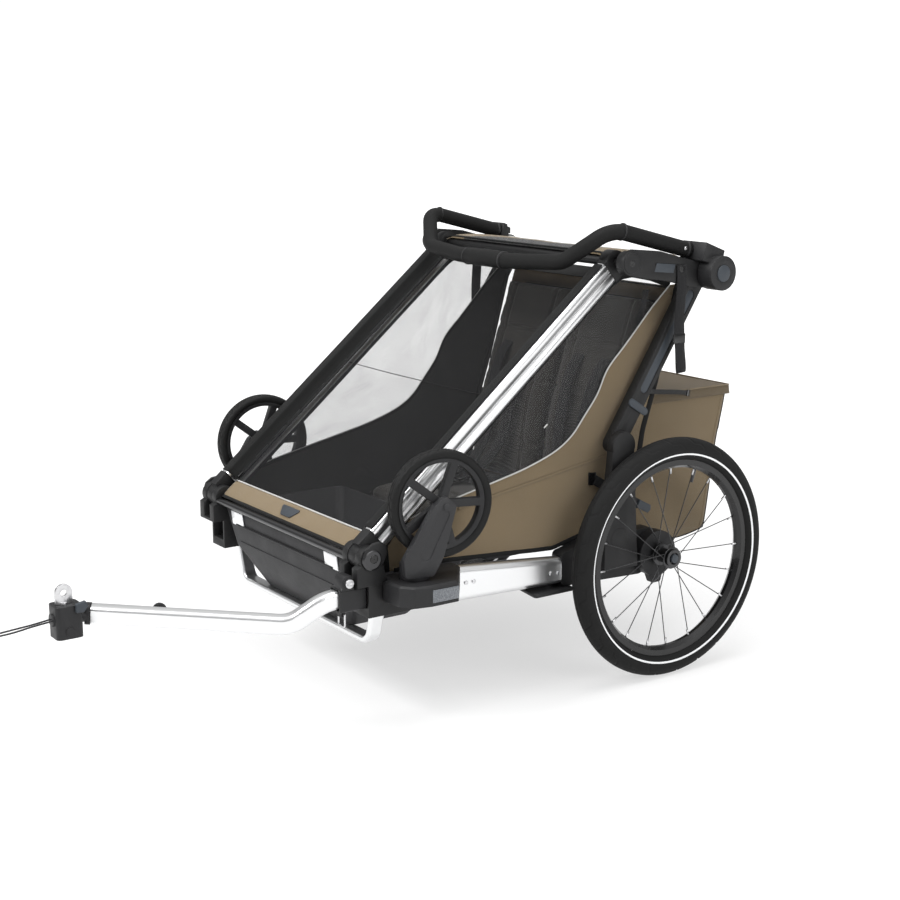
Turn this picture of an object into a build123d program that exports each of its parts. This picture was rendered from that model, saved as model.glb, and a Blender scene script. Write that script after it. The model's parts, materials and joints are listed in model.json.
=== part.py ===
from build123d import *
from math import acos, atan2, cos, degrees, hypot, pi, radians, sin, tan
import os

# Child bicycle trailer with a folding frame, built side by side from its own real pieces.
# Millimetres, +Z up, +Y to the rear, +X to the rider's left. The pieces are laid out from the
# ground point under the wheel axle, and the whole is then moved so that the origin is the centre
# of the overall box at floor level.

# ---- driving dimensions -----------------------------------------------------------------------
WHEEL_R = 250.0            # 20 inch road wheel
WHEEL_X = 375.0            # mid-plane of each road wheel from the centre line
TYRE_W = 47.0
BEAD = 3.0                 # how deep the tyre sits over the rim
RIM_DEPTH = 18.0
RIM_OUT_R = WHEEL_R - TYRE_W + BEAD
RIM_IN_R = RIM_OUT_R - RIM_DEPTH
RIM_W = 25.0
SPOKES = 20
SPOKE_R = 1.0
FLANGE_R = 23.0
HUB_R = 15.0
HUB_IN_X = 346.0
HUB_OUT_X = 388.0
AXLE_R = 6.0
DRUM_R = 48.0

# fold pivots, (y, z) from the axle's ground point
FRONT_PIVOT = (-686.0, 345.0)
TOP_PIVOT = (-97.0, 854.0)
HUB_PIVOT = (113.0, 826.0)
KNEE_PIVOT = (-105.0, 490.0)
FOLDED_FRONT_DEG = 8.0     # slope of the front tubes when the frame is folded flat

# planes across the trailer, x from the centre line on one side
TUBE_IN_X = 276.0
TUBE_OUT_X = 301.0
STRUT_IN_X = 303.5
STRUT_OUT_X = 326.5
ARM_IN_X = 328.5
ARM_OUT_X = 347.0
RAIL_X = 300.0
RAIL_W = 32.0
CLOTH_X = 284.0            # inner face of the side fabric
CLOTH_T = 3.0
BAND_X = 256.4             # half width of the cover's lower band

TUBE_DEPTH = 50.0          # front tube, seen from the side
STRUT_DEPTH = 38.0
PIN_R = 6.0
TOP_PIN_R = 7.0
BOSS_R = 24.0
HUB_BOSS_R = 33.0
REAR_TUBE_HALF = 288.0     # half length of the tube between the uprights' tops
BAR_HUB_R = 35.0
BAR_HUB_OUT_X = 388.0
BAR_R = 16.0
BAR_WALL = 2.5
TUBE_WALL = 2.5
TUBE_GROOVE = 2.0          # depth of the groove along the front tube's outer face

RAIL_FRONT_Y = -487.0
RAIL_REAR_Y = -235.0
RAIL_FRONT_Z = (225.0, 297.0)
RAIL_REAR_Z = (217.0, 273.0)

CASTER_R = 102.5
CASTER_W = 28.0
CASTER_PIVOT = (341.0, -605.0)
CASTER_TRAIL = 52.0
CASTER_Z = 438.0
CASTER_YAW = {"left": 10.0, "right": 5.0}
POD_TOP_Z = 302.0
POD_BOTTOM_Z = 262.0
CASTER_STEM_R = 8.0
CASTER_SPOKES = 5

ARM_W = 28.0               # hitch arm section
ARM_H = 36.0
ARM_ROUTE = [(290, -672, 272), (290, -768, 272), (262, -824, 230), (80, -1131, 261)]
ARM_BENDS = [52.0, 62.0]
HEAD_Y = (-1203.0, -1153.0)
HEAD_X = 80.0
HEAD_W = 44.0
HEAD_Z = (228.0, 288.0)
EYE_Z = 309.0
EYE_R = 16.0
EYE_BORE_R = 6.0
EYE_T = 5.0
STUB_R = 10.5

BAG_HALF_W = 222.0
BAG_TOP_Z = 545.0
BAG_FRONT_Y = 42.0
BAG_REAR_Y = 302.0
BAG_WALL = 4.0
LID_T = 14.0

SEAT_TOP_Z = 330.0
TUB_WALL = 4.0
TUB_TOP_Z = 333.0

LEASH_R = 1.7
LEASH_ROUTE = [(86, -1206, 262), (85, -1240, 259), (83, -1275, 253), (84, -1310, 252),
               (82, -1345, 249), (78, -1378, 243), (72, -1402, 235), (62, -1408, 231),
               (54, -1396, 236), (56, -1368, 243), (62, -1332, 248), (66, -1298, 251),
               (70, -1264, 255), (73, -1234, 258), (74, -1206, 262)]

# clearances
RUN = 0.05                 # radial, pin in bore
GAP = 0.3                  # between pieces that only lie against each other
PLAY = 1.5                 # between plates that swing past each other
SEAT = 0.8                 # between a bent tube's end and the socket it is bonded to

CABIN_X = TUBE_IN_X - GAP  # half width of cover and roof

FRONT_MOST_Y = HEAD_Y[0] - 3.0
REAR_MOST_Y = BAG_REAR_Y
ORIGIN_Y = (FRONT_MOST_Y + REAR_MOST_Y) / 2


# ---- shapes -----------------------------------------------------------------------------------
def block(x, y, z, r=0.0):
    """A box between pairs of coordinates, its upright edges rounded by r."""
    centre = Pos((x[0] + x[1]) / 2, (y[0] + y[1]) / 2, (z[0] + z[1]) / 2)
    shape = centre * Box(x[1] - x[0], y[1] - y[0], z[1] - z[0])
    return fillet(shape.edges().filter_by(Axis.Z), r) if r else shape


def rod(a, b, r):
    """A round bar from point a to point b."""
    a, b = Vector(*a), Vector(*b)
    plane = Plane(origin=a, z_dir=b - a)
    return extrude(plane * Circle(r), (b - a).length)


def cross(x0, x1, at, r):
    """A round bar along X between x0 and x1, at a (y, z) place."""
    return rod((x0, *at), (x1, *at), r)


def plate(points, x0, x1, r=0.0):
    """A side-on outline of (y, z) points, as a plate between x0 and x1, its corners rounded by r."""
    face = Plane.YZ.offset(x0) * make_face(Polyline(*points, close=True))
    shape = extrude(face, x1 - x0)
    return fillet(shape.edges().filter_by(Axis.X), r) if r else shape


def slab(points, z0, z1, r=0.0):
    """A plan outline of (x, y) points, as a slab between z0 and z1."""
    face = Plane.XY.offset(z0) * make_face(Polyline(*points, close=True))
    shape = extrude(face, z1 - z0)
    return fillet(shape.edges().filter_by(Axis.Z), r) if r else shape


def bar_between(a, b, depth, x0, x1):
    """A flat bar from (y, z) a to b with its ends rounded, as deep as given, between x0 and x1."""
    length, slope = hypot(b[0] - a[0], b[1] - a[1]), degrees(atan2(b[1] - a[1], b[0] - a[0]))
    flat = SlotCenterToCenter(length, depth)
    plane = Plane(origin=(x0, (a[0] + b[0]) / 2, (a[1] + b[1]) / 2), x_dir=(0, 1, 0), z_dir=(1, 0, 0))
    return extrude(plane * Rot(0, 0, slope) * flat, x1 - x0)


def piped(route, radii, r):
    """A round bar along straight runs joined by tangent arcs."""
    path = FilletPolyline(*route, radius=radii)
    start = Plane(origin=path @ 0, z_dir=path % 0)
    return sweep(start * Circle(r), path=path)


def along(a, b, share, lift=0.0):
    """The (y, z) point a share of the way from a to b, lifted square to that line."""
    dy, dz = b[0] - a[0], b[1] - a[1]
    length = hypot(dy, dz)
    return (a[0] + dy * share - dz / length * lift, a[1] + dz * share + dy / length * lift)


def other(shape):
    """The same piece on the other side of the trailer."""
    return mirror(shape, about=Plane.YZ)


def pair(*shapes):
    """The given pieces and their twins on the other side."""
    return [*shapes, *[other(s) for s in shapes]]


nodes = {}


def add(name, shapes, place=None):
    """Keep the solids of one node, each as a piece of its own."""
    solids = []
    for shape in shapes if isinstance(shapes, (list, tuple)) else [shapes]:
        shape = place * shape if place is not None else shape
        solids += shape.solids()
    nodes[name] = solids


# ---- folding geometry -------------------------------------------------------------------------
def turn(p, about, deg):
    """A (y, z) point turned about another, nose down for a positive angle."""
    a = radians(-deg)
    dy, dz = p[0] - about[0], p[1] - about[1]
    return (about[0] + dy * cos(a) - dz * sin(a), about[1] + dy * sin(a) + dz * cos(a))


def slope(a, b):
    """Slope of the line from one (y, z) point to another, in degrees."""
    return degrees(atan2(b[1] - a[1], b[0] - a[0]))


def folded():
    """Turns of the front tubes, the top joint on them and the uprights from open to flat."""
    front = slope(FRONT_PIVOT, TOP_PIVOT) - FOLDED_FRONT_DEG
    top = turn(TOP_PIVOT, FRONT_PIVOT, front)
    arm = hypot(HUB_PIVOT[0] - TOP_PIVOT[0], HUB_PIVOT[1] - TOP_PIVOT[1])
    strut = hypot(HUB_PIVOT[0] - KNEE_PIVOT[0], HUB_PIVOT[1] - KNEE_PIVOT[1])
    reach = hypot(top[0] - KNEE_PIVOT[0], top[1] - KNEE_PIVOT[1])
    at_knee = degrees(acos((reach**2 + strut**2 - arm**2) / (2 * reach * strut)))
    strut_slope = slope(KNEE_PIVOT, top) - at_knee
    upright = slope(KNEE_PIVOT, HUB_PIVOT) - strut_slope
    hub = turn(HUB_PIVOT, KNEE_PIVOT, upright)
    joint = slope(TOP_PIVOT, HUB_PIVOT) - slope(top, hub) - front
    return front, joint, upright, hub


FOLD_FRONT, FOLD_TOP, FOLD_UPRIGHT, FOLDED_HUB = folded()

# front tube centre line, from the lower fitting to the upper one
TUBE_LOW = (-657.0, 375.0)
TUBE_HIGH = (-111.0, 832.0)


# ---- chassis ----------------------------------------------------------------------------------
def side_rail():
    """Oval side rail, deeper at the front end, butted between the two castings."""
    ends = []
    for y, z in ((RAIL_FRONT_Y, RAIL_FRONT_Z), (RAIL_REAR_Y, RAIL_REAR_Z)):
        height = z[1] - z[0]
        plane = Plane(origin=(RAIL_X, y, sum(z) / 2), x_dir=(1, 0, 0), z_dir=(0, 1, 0))
        ends.append(plane * RectangleRounded(RAIL_W, height, RAIL_W * 0.45))
    return loft(ends)


GUARD_Z = 154.0
GUARD_W = 30.0
GUARD_T = 14.0


def front_guard():
    """Flat-section tube that drops from one front casting, runs under the tub and rises again."""
    side, low, top, y = 262.0, GUARD_Z + GUARD_T / 2, 230.2, -640.0
    route = [(side + 6, y, top), (side - 14, y, low), (-side + 14, y, low), (-side - 6, y, top)]
    path = FilletPolyline(*route, radius=26)
    start = Plane(origin=path @ 0, x_dir=(0, 1, 0), z_dir=path % 0)
    return sweep(start * RectangleRounded(GUARD_W, GUARD_T, GUARD_T * 0.4), path=path)


def front_bracket():
    """Front casting: a box that takes the rail, with two cheeks round the front pivot."""
    y1, z0, z1 = RAIL_FRONT_Y - GAP, 232.0, POD_BOTTOM_Z + 8.0
    body = block((262, 318), (-664, y1), (z0, z1 - GAP), 8)
    cheeks = []
    for x0, x1 in ((257.0, TUBE_IN_X - 0.6), (TUBE_OUT_X + 0.9, 321.0)):
        foot = plate([(-716, 296), (-716, 330), FRONT_PIVOT, (-660, 330), (-650, 296)], x0, x1)
        cheeks.append(foot + cross(x0, x1, FRONT_PIVOT, BOSS_R))
    base = block((257, 321), (-716, -650), (294, 300), 0)
    neck = block((262, 318), (-690, -650), (z0, 296), 0) - block((268, 312), (-691, -668), (250, 294))
    bore = cross(240, 340, FRONT_PIVOT, PIN_R)
    return body + neck + base + cheeks[0] + cheeks[1] - bore


def rear_bracket():
    """Rear casting: rail collar, axle carrier and the post that ends in the knee."""
    y0, y1 = RAIL_REAR_Y + GAP, 46.0
    collar = [(y0, 212), (y0, 280), (-150, 300), (-60, 300), (0, 300)]
    tail = [(y1, 280), (y1, 222), (-30, 205), (-196, 212)]
    carrier = plate(collar + tail, 284, 316, 10)
    post_front, post_rear = [(-150, 236), (-150, 300), (-133, 480)], [(-78, 480), (-66, 300), (-62, 236)]
    post = plate(post_front + post_rear, 315, ARM_OUT_X + 1)
    slot = plate([(-190, 402), (-190, 560), (-20, 560), (-20, 402)], 300, ARM_IN_X)
    knee = cross(ARM_IN_X, ARM_OUT_X + 1, KNEE_PIVOT, 29)
    pin = cross(STRUT_IN_X - 1, ARM_IN_X + 1, KNEE_PIVOT, PIN_R)
    ear = cross(315, ARM_OUT_X + 1.5, (-112, 300), 22)
    return carrier + (post - slot) + knee + pin + ear - cross(280, 330, (0, WHEEL_R), AXLE_R)


def chassis():
    """Rails, cross tubes, castings, brake parts and the feet behind them."""
    rails = pair(side_rail())
    add("frame_rails", rails + [front_guard()])
    rear_tube = cross(-284 + GAP, 284 - GAP, (-60, 262), 14)
    front_tube = cross(-257 + GAP, 257 - GAP, (-702, 340), 7)
    brake_rod = cross(-284 + GAP, 284 - GAP, (-8, 277), 3)
    add("cross_tubes", [rear_tube, front_tube, brake_rod])
    add("front_brackets", pair(front_bracket()))
    pedal_at = (32.0, 258.0)
    left = rear_bracket() + cross(262, 285, pedal_at, 5)
    add("rear_brackets", [left, other(rear_bracket())])
    tread = plate([(26, 248), (30, 268), (86, 262), (98, 252), (84, 250)], 240, 282)
    pedal = cross(258, 284 - GAP, pedal_at, 11) + tread
    pedal -= cross(230, 300, pedal_at, 5 + RUN)
    add("brake_pedal", [pedal])
    ear = plate([(-20, 214), (22, 214), (14, 186), (-8, 186)], 319, 335, 4)
    drum = cross(317, 341, (0, WHEEL_R), DRUM_R) + ear
    drum -= cross(310, 345, (0, WHEEL_R), AXLE_R + RUN)
    axle = cross(296, 384, (0, WHEEL_R), AXLE_R)
    axle -= cross(374, 385, (0, WHEEL_R), 4 + 0.2)
    add("brake_drums", pair(drum, axle))
    foot = slab([(236, -298), (330, -312), (330, -212), (250, -205)], 204, 212 - GAP, 8)
    add("rear_feet", pair(foot))


def pods():
    """Caster docks with their side lenses, and the lenses that the tub and the bag carry."""
    front_edge = [(292, -664), (372, -658), (396, -640)]
    outline = front_edge + [(403, -606), (403, -548), (322, -488), (292, -488)]
    pod = slab(outline, POD_BOTTOM_Z, POD_TOP_Z, 6)
    pod -= block((280, 318.3), (-680, -480), (250, POD_BOTTOM_Z + 8))
    pod -= block((280, 322.3), (-720, -649.7), (200, 320))
    rim_edges = pod.faces().sort_by(Axis.Z)[-1].outer_wire().edges()
    pod = chamfer(rim_edges, 4)
    socket = Pos(*CASTER_PIVOT, POD_TOP_Z) * Cylinder(CASTER_STEM_R + RUN, 60)
    lens_seat = block((401, 410), (-606, -547), (268, 293))
    pod = pod - socket - lens_seat
    add("caster_pods", pair(pod))
    lens = block((401 + GAP, 404), (-605.7, -547.3), (268.3, 292.7))
    tub_lens = plate([(-690.3, 298), (-694, 328), (-697, 328), (-693.3, 298)], 166, 214)
    rear_lens = plate([(284.6, 500), (292.1, 534), (295.1, 533.4), (287.6, 499.4)], 172, 216)
    add("reflectors", pair(lens, tub_lens))
    add("rear_reflectors", pair(rear_lens))


# rings of the foot well: height, front and rear y, half width
TUB_RINGS = ((168.4, -640.0, -500.0, 170.0), (252.0, -684.0, -420.0, 226.0),
             (TUB_TOP_Z, -694.0, -400.0, 257.0 - GAP))
TUB_CORNER = 18.0


def foot_tub():
    """Moulded foot well: an open tub that tapers to its floor, with the cloth floor behind it."""
    def ring(z, y_front, y_rear, half, inset):
        size = (2 * (half - inset), y_rear - y_front - 2 * inset)
        return Plane.XY.offset(z) * Pos(0, (y_front + y_rear) / 2) * RectangleRounded(*size, TUB_CORNER)
    bottom, middle, top = TUB_RINGS
    outer = loft([ring(*r, 0.0) for r in TUB_RINGS], ruled=True)
    hollow = ((bottom[0] + TUB_WALL, *bottom[1:]), middle, (top[0] + 1, *top[1:]))
    tub = outer - loft([ring(*r, TUB_WALL) for r in hollow], ruled=True)
    floor = block((-CLOTH_X + GAP, CLOTH_X - GAP), (-398, -24), (286, 292))
    add("foot_tub", [tub, floor])


def seats():
    """Seat cushion, a back for each child and the rear cloth behind them."""
    base = block((-250, 250), (-340, -24.6), (292 + GAP, SEAT_TOP_Z), 20)
    backs = []
    for x0, x1 in ((-250, -4), (4, 250)):
        behind = [(-27, 330.3), (-3, 498), (30, 596), (82, 762)]
        before = [(46, 775), (-12, 608), (-44, 505), (-70, 330.3)]
        backs.append(plate(behind + before, x0, x1, 6))
    add("seat_base", [base])
    add("seat_backs", backs)
    rear = [(-20, 292.3), (6, 500), (40, 600), (100, 790), (96, 791), (36, 601), (2, 501), (-24, 292.3)]
    add("rear_panel", [plate(rear, -CABIN_X, CABIN_X)])


WINDOW_EDGE = [(-357, 444), (-232, 485), (-190, 512), (-158, 549), (-100, 638), (-57, 681),
               (62, 797)]


def side_cloth():
    """Side wall: woven panel below and behind, clear window above, edges on the same line."""
    under_tube = -(TUBE_DEPTH / 2 + PLAY)
    low = along(TUBE_LOW, TUBE_HIGH, 0.015, under_tube)
    window_low = along(TUBE_LOW, TUBE_HIGH, 0.20, under_tube)
    high = along(TUBE_LOW, TUBE_HIGH, 1.0, under_tube)
    top = [(-78, 822), (-40, 826)]
    window = [window_low, high, *top, *reversed(WINDOW_EDGE)]
    rear_edge = [(84, 800), (30, 598), (-2, 500), (-34, 305)]
    foot_edge = [(-150, 303.5), (RAIL_REAR_Y, 284), (RAIL_FRONT_Y, 303), (-640, 303.5)]
    wall = [low, high, *top, *rear_edge, *foot_edge]
    x1 = CLOTH_X + CLOTH_T
    panel = plate(wall, CLOTH_X, x1) - plate(window, CLOTH_X - 1, x1 + 1)
    panel = panel.solids().sort_by(SortBy.VOLUME)[-1]
    face = Plane.YZ.offset(CLOTH_X) * make_face(Polyline(*window, close=True))
    pane = extrude(offset(face, -GAP, kind=Kind.INTERSECTION), CLOTH_T)
    add("side_panels", pair(panel))
    add("side_windows", pair(pane))


# ---- folding frame ----------------------------------------------------------------------------
def front_frame():
    """Silver front tubes with their knuckles and pins, the mesh cover and its lower band."""
    length = hypot(TUBE_HIGH[0] - TUBE_LOW[0], TUBE_HIGH[1] - TUBE_LOW[1])
    centre = along(TUBE_LOW, TUBE_HIGH, 0.5)
    tilt = slope(TUBE_LOW, TUBE_HIGH)
    plane = Plane(origin=(TUBE_IN_X, *centre), x_dir=(0, 1, 0), z_dir=(1, 0, 0))
    tube = extrude(plane * Rot(0, 0, tilt) * Rectangle(length, TUBE_DEPTH), TUBE_OUT_X - TUBE_IN_X)
    long_edges = tube.edges().filter_by(lambda e: abs((e % 0.5).X) < 0.01 and e.length > length / 2)
    tube = fillet(long_edges, 8)
    tube_w = TUBE_OUT_X - TUBE_IN_X
    groove_at = plane.offset(tube_w - TUBE_GROOVE) * Rot(0, 0, tilt)
    groove = extrude(groove_at * Rectangle(length + 2, 3), TUBE_GROOVE + 1)
    bore_at = plane.offset(TUBE_WALL) * Rot(0, 0, tilt)
    bore = extrude(bore_at * Rectangle(length + 2, TUBE_DEPTH - 2 * TUBE_WALL),
                   tube_w - 2 * TUBE_WALL - TUBE_GROOVE)
    add("front_tubes", pair(tube - groove - bore))

    def knuckle(pivot, share_a, share_b, pin_r):
        eye = cross(TUBE_IN_X + 0.5, TUBE_OUT_X + 0.5, pivot, BOSS_R - 1)
        above = [along(TUBE_LOW, TUBE_HIGH, share, TUBE_DEPTH / 2) for share in (share_a, share_b)]
        below = [along(TUBE_LOW, TUBE_HIGH, share, -TUBE_DEPTH / 2) for share in (share_b, share_a)]
        body = plate(above + below, TUBE_IN_X + 0.5, TUBE_OUT_X)
        return eye + body - cross(200, 360, pivot, pin_r + RUN)
    near, far = GAP / length, 1 - GAP / length
    low = knuckle(FRONT_PIVOT, -0.05, -near, PIN_R)
    high = knuckle(TOP_PIVOT, far + 2 * near, 1.035, TOP_PIN_R)
    hinge_pin = cross(250, 324, FRONT_PIVOT, PIN_R)
    dome = cross(321, 328, FRONT_PIVOT, 21)
    add("front_knuckles", pair(low, high))
    add("front_pins", pair(hinge_pin + fillet(dome.faces().sort_by(Axis.X)[-1].edges(), 5)))

    def strip(s0, s1, lift0, lift1, half):
        corners = ((s0, lift0), (s1, lift0), (s1, lift1), (s0, lift1))
        return plate([along(TUBE_LOW, TUBE_HIGH, *c) for c in corners], -half, half)
    add("front_cover", [strip(0.0005, 1.012, 3, 6, CABIN_X)])
    add("cover_band", [strip(-0.062, 0.0, 2, 7, BAND_X)])


# outline of the arch-shaped top joint, seen from the side
ARCH = [(-120, 846), (-112, 872), (-84, 880), (-20, 874), (40, 858), (92, 846), (116, 792),
        (60, 800), (0, 814), (-60, 822), (-100, 830)]


def top_frame():
    """Arch-shaped top joints with their pins, the front top tube, the roof and the straps."""
    arch = plate(ARCH, ARM_IN_X, ARM_OUT_X)
    arch -= plate([(-36, 852), (28, 846), (22, 829), (-26, 833)], ARM_OUT_X - 1.2, ARM_OUT_X + 1)
    arch += cross(ARM_IN_X, ARM_OUT_X, HUB_PIVOT, HUB_BOSS_R)
    arch += cross(ARM_IN_X, ARM_OUT_X + 1.5, TOP_PIVOT, BOSS_R)
    arch += cross(TUBE_IN_X - 6, ARM_IN_X + 1, TOP_PIVOT, TOP_PIN_R)
    arch += cross(ARM_IN_X, BAR_HUB_OUT_X - 12, HUB_PIVOT, PIN_R)
    arch += cross(STRUT_OUT_X + GAP, ARM_IN_X, HUB_PIVOT, 20)
    front_tube = cross(-TUBE_IN_X + 6 + GAP, TUBE_IN_X - 6 - GAP, TOP_PIVOT, 9)
    add("top_joints", pair(arch) + [front_tube])
    roof_over = [(-104, 869), (-40, 875), (92, 859), (118, 843.5)]
    roof_under = [(114, 839.5), (90, 853.5), (-40, 869.5), (-104, 863.6)]
    roof = plate(roof_over + roof_under, -CABIN_X, CABIN_X)
    add("roof_panel", [roof])
    strap = block((ARM_OUT_X + 0.3, ARM_OUT_X + 2.3), (20, 52), (626, 846))
    add("hanging_straps", pair(strap))


def uprights():
    """Rear uprights, the tube between their tops, their channel inserts and strap clips."""
    strut = bar_between(KNEE_PIVOT, HUB_PIVOT, STRUT_DEPTH, STRUT_IN_X, STRUT_OUT_X)
    eye = cross(STRUT_IN_X, STRUT_OUT_X, HUB_PIVOT, HUB_BOSS_R - 4)
    strut = strut + eye
    strut -= cross(300, 330, KNEE_PIVOT, PIN_R + GAP)
    strut += cross(REAR_TUBE_HALF, STRUT_IN_X + 1, HUB_PIVOT, 16)
    rear_tube = cross(-REAR_TUBE_HALF + GAP, REAR_TUBE_HALF - GAP, HUB_PIVOT, 13)
    a, b = along(KNEE_PIVOT, HUB_PIVOT, 0.32), along(KNEE_PIVOT, HUB_PIVOT, 0.86)
    strut -= bar_between(a, b, 20, STRUT_OUT_X - 4, STRUT_OUT_X + 1)
    channel = bar_between(a, b, 19.4, STRUT_OUT_X - 3.7, STRUT_OUT_X - 1)
    clip_to = along(KNEE_PIVOT, HUB_PIVOT, 0.22, -24)
    clip_from = along(KNEE_PIVOT, HUB_PIVOT, 0.22, 16)
    clip = bar_between(clip_from, clip_to, 16, STRUT_OUT_X + GAP, STRUT_OUT_X + 4)
    add("uprights", pair(strut) + [rear_tube])
    add("upright_trims", pair(channel, clip))


def handlebar():
    """Padded push bar with its centre grip, its two hubs and their release buttons."""
    route = [(322, 74, 870.5), (316, -122, 920), (232, -177, 852), (90, -195, 844)]
    full = route + [(-x, y, z) for x, y, z in reversed(route)]
    bends = [48, 46, 300, 300, 46, 48]
    bar = piped(full, bends, BAR_R) - piped(full, bends, BAR_R - BAR_WALL)
    add("handlebar_tube", [bar])
    grip_at = route[-1][1:]
    half = 64.0
    grip = cross(-half, half, grip_at, BAR_R + 1.6) - cross(-half - 1, half + 1, grip_at, BAR_R)
    add("centre_grip", [grip])
    hubs = cross(ARM_OUT_X + PLAY + 0.5, BAR_HUB_OUT_X, HUB_PIVOT, BAR_HUB_R)
    tube_end, tube_bend = route[0][1:], route[1][1:]
    sleeve_line = (along(tube_end, tube_bend, -SEAT / 200), along(tube_end, tube_bend, -0.27))
    body = plate([along(*sleeve_line, 0, 19), along(*sleeve_line, 1, 13), along(*sleeve_line, 1, -20),
                  along(*sleeve_line, 0, -18)], 304, 372)
    body -= cross(300, ARM_OUT_X + PLAY + 0.5, HUB_PIVOT, BAR_HUB_R)
    body -= block((300, ARM_OUT_X + PLAY + 0.5), (HUB_PIVOT[0] + 4, 140), (780, 900))
    body -= block((300, ARM_OUT_X + PLAY + 0.5), (60, 140), (780, 849.5))
    body -= block((300, STRUT_OUT_X + PLAY), (90, 140), (780, 900))
    hubs = hubs + body
    hubs -= cross(300, BAR_HUB_OUT_X - 11, HUB_PIVOT, PIN_R + RUN)
    hubs -= cross(BAR_HUB_OUT_X - 11.5, 400, HUB_PIVOT, 17 + RUN)
    add("bar_hubs", pair(hubs))
    for side, flip in (("left", False), ("right", True)):
        button = cross(BAR_HUB_OUT_X - 7, BAR_HUB_OUT_X + 2, HUB_PIVOT, 17)
        add(side + "_bar_button", other(button) if flip else button)


# ---- wheels -----------------------------------------------------------------------------------
def spun(section, at):
    """A (radius, x) outline spun about the wheel axle through (y, z)."""
    pts = [(x, at[0], at[1] + r) for r, x in section]
    face = make_face(Polyline(*pts, close=True))
    return revolve(face, axis=Axis((0, *at), (1, 0, 0)))


def road_wheel(side):
    """Tyre, rim, hub, crossed spokes and push-button axle of one road wheel."""
    at = (0.0, WHEEL_R)
    half = TYRE_W / 2
    ring = Plane(origin=(WHEEL_X, at[0], at[1] + WHEEL_R - half), x_dir=(1, 0, 0), z_dir=(0, -1, 0))
    tyre = revolve(ring * Circle(half), axis=Axis((0, *at), (1, 0, 0)))
    tyre -= cross(WHEEL_X - 40, WHEEL_X + 40, at, RIM_OUT_R)
    w = RIM_W / 2
    bed_r, wall_r = RIM_OUT_R - 0.1, RIM_IN_R + 6
    rim = spun([(bed_r, WHEEL_X - w), (bed_r, WHEEL_X + w), (wall_r, WHEEL_X + w),
                (RIM_IN_R, WHEEL_X + 4), (RIM_IN_R, WHEEL_X - 4), (wall_r, WHEEL_X - w)], at)
    hub = cross(HUB_IN_X, HUB_OUT_X, at, HUB_R)
    flanges = ((HUB_IN_X + 3, HUB_IN_X + 6.5), (HUB_OUT_X - 7.5, HUB_OUT_X - 4))
    for x0, x1 in flanges:
        hub += cross(x0, x1, at, FLANGE_R)
    hub += cross(HUB_OUT_X, HUB_OUT_X + 3, at, 19)
    hub -= cross(300, 420, at, AXLE_R + RUN)
    hub -= cross(384.5, 420, at, 12)
    spokes = []
    for i in range(SPOKES):
        lace = 34.0 if (i // 2) % 2 else -34.0
        a_rim = radians(360.0 * i / SPOKES)
        a_hub = a_rim + radians(lace)
        x0, x1 = flanges[i % 2]
        hub_r, rim_r = FLANGE_R - 4, RIM_IN_R + 4
        hub_at = ((x0 + x1) / 2, at[0] + hub_r * sin(a_hub), at[1] + hub_r * cos(a_hub))
        lean = 3.0 if i % 2 else -3.0
        rim_at = (WHEEL_X + lean, at[0] + rim_r * sin(a_rim), at[1] + rim_r * cos(a_rim))
        spokes.append(rod(hub_at, rim_at, SPOKE_R))
    button = cross(386.5, HUB_OUT_X + 6, at, 9) + cross(379, 387, at, 4)
    parts = {"tyre": [tyre], "rim": [rim], "hub": [hub], "spokes": spokes, "axle_button": [button]}
    for name, shapes in parts.items():
        add(f"{side}_{name}", [other(s) for s in shapes] if side == "right" else shapes)


def caster(side):
    """Stroller caster, stowed upside down in its pod on a single side leg."""
    flip = side == "right"
    yaw = CASTER_YAW[side]
    at = (CASTER_TRAIL, CASTER_Z)
    half = CASTER_W / 2
    axle = cross(-half - 4, 33, at, 5)
    base = Pos(0, 0, (POD_TOP_Z + 0.4 + 331) / 2) * Cylinder(28, 331 - POD_TOP_Z - 0.4)
    leg_rear = [(28, 442), (52, 458), (72, 438), (46, 345), (26, POD_TOP_Z + 8)]
    leg = plate([(-30, POD_TOP_Z + 8), (-34, 345)] + leg_rear, half + 3, half + 18, 7)
    recess = bar_between((10, 352), (46, 424), 22, half + 16.5, half + 20)
    stem = Pos(0, 0, (POD_TOP_Z - 26 + POD_TOP_Z + 4) / 2) * Cylinder(CASTER_STEM_R, 30)
    bolt = cross(half + 18, half + 21, at, 7)
    fork = base + leg + stem + axle + bolt - recess
    ring = [(CASTER_R - 16, -half + 3), (CASTER_R - 5, -half), (CASTER_R, -half + 5),
            (CASTER_R, half - 5), (CASTER_R - 5, half), (CASTER_R - 16, half - 3)]
    tyre = spun(ring, at)
    rim_r = CASTER_R - 16.1
    rim = spun([(rim_r, -half + 3), (rim_r, half - 3), (rim_r - 8, half - 6), (rim_r - 8, -half + 6)], at)
    hub = cross(-half, half + 2, at, 14)
    for i in range(CASTER_SPOKES):
        a = radians(360.0 * i / CASTER_SPOKES + 20)
        end = (at[0] + (rim_r - 4) * sin(a), at[1] + (rim_r - 4) * cos(a))
        spoke = bar_between(at, end, 15, -half + 8, half - 6)
        spoke &= cross(-half, half, at, rim_r - 4)
        rim += spoke
    rim = rim + hub - cross(-40, 40, at, 5 + RUN)
    x = -CASTER_PIVOT[0] if flip else CASTER_PIVOT[0]
    place = Pos(x, CASTER_PIVOT[1], 0) * Rot(0, 0, -yaw)
    for name, shape in {"fork": fork, "caster_tyre": tyre, "caster_rim": rim}.items():
        add(f"{side}_{name}", other(shape) if flip else shape, place)


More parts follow.
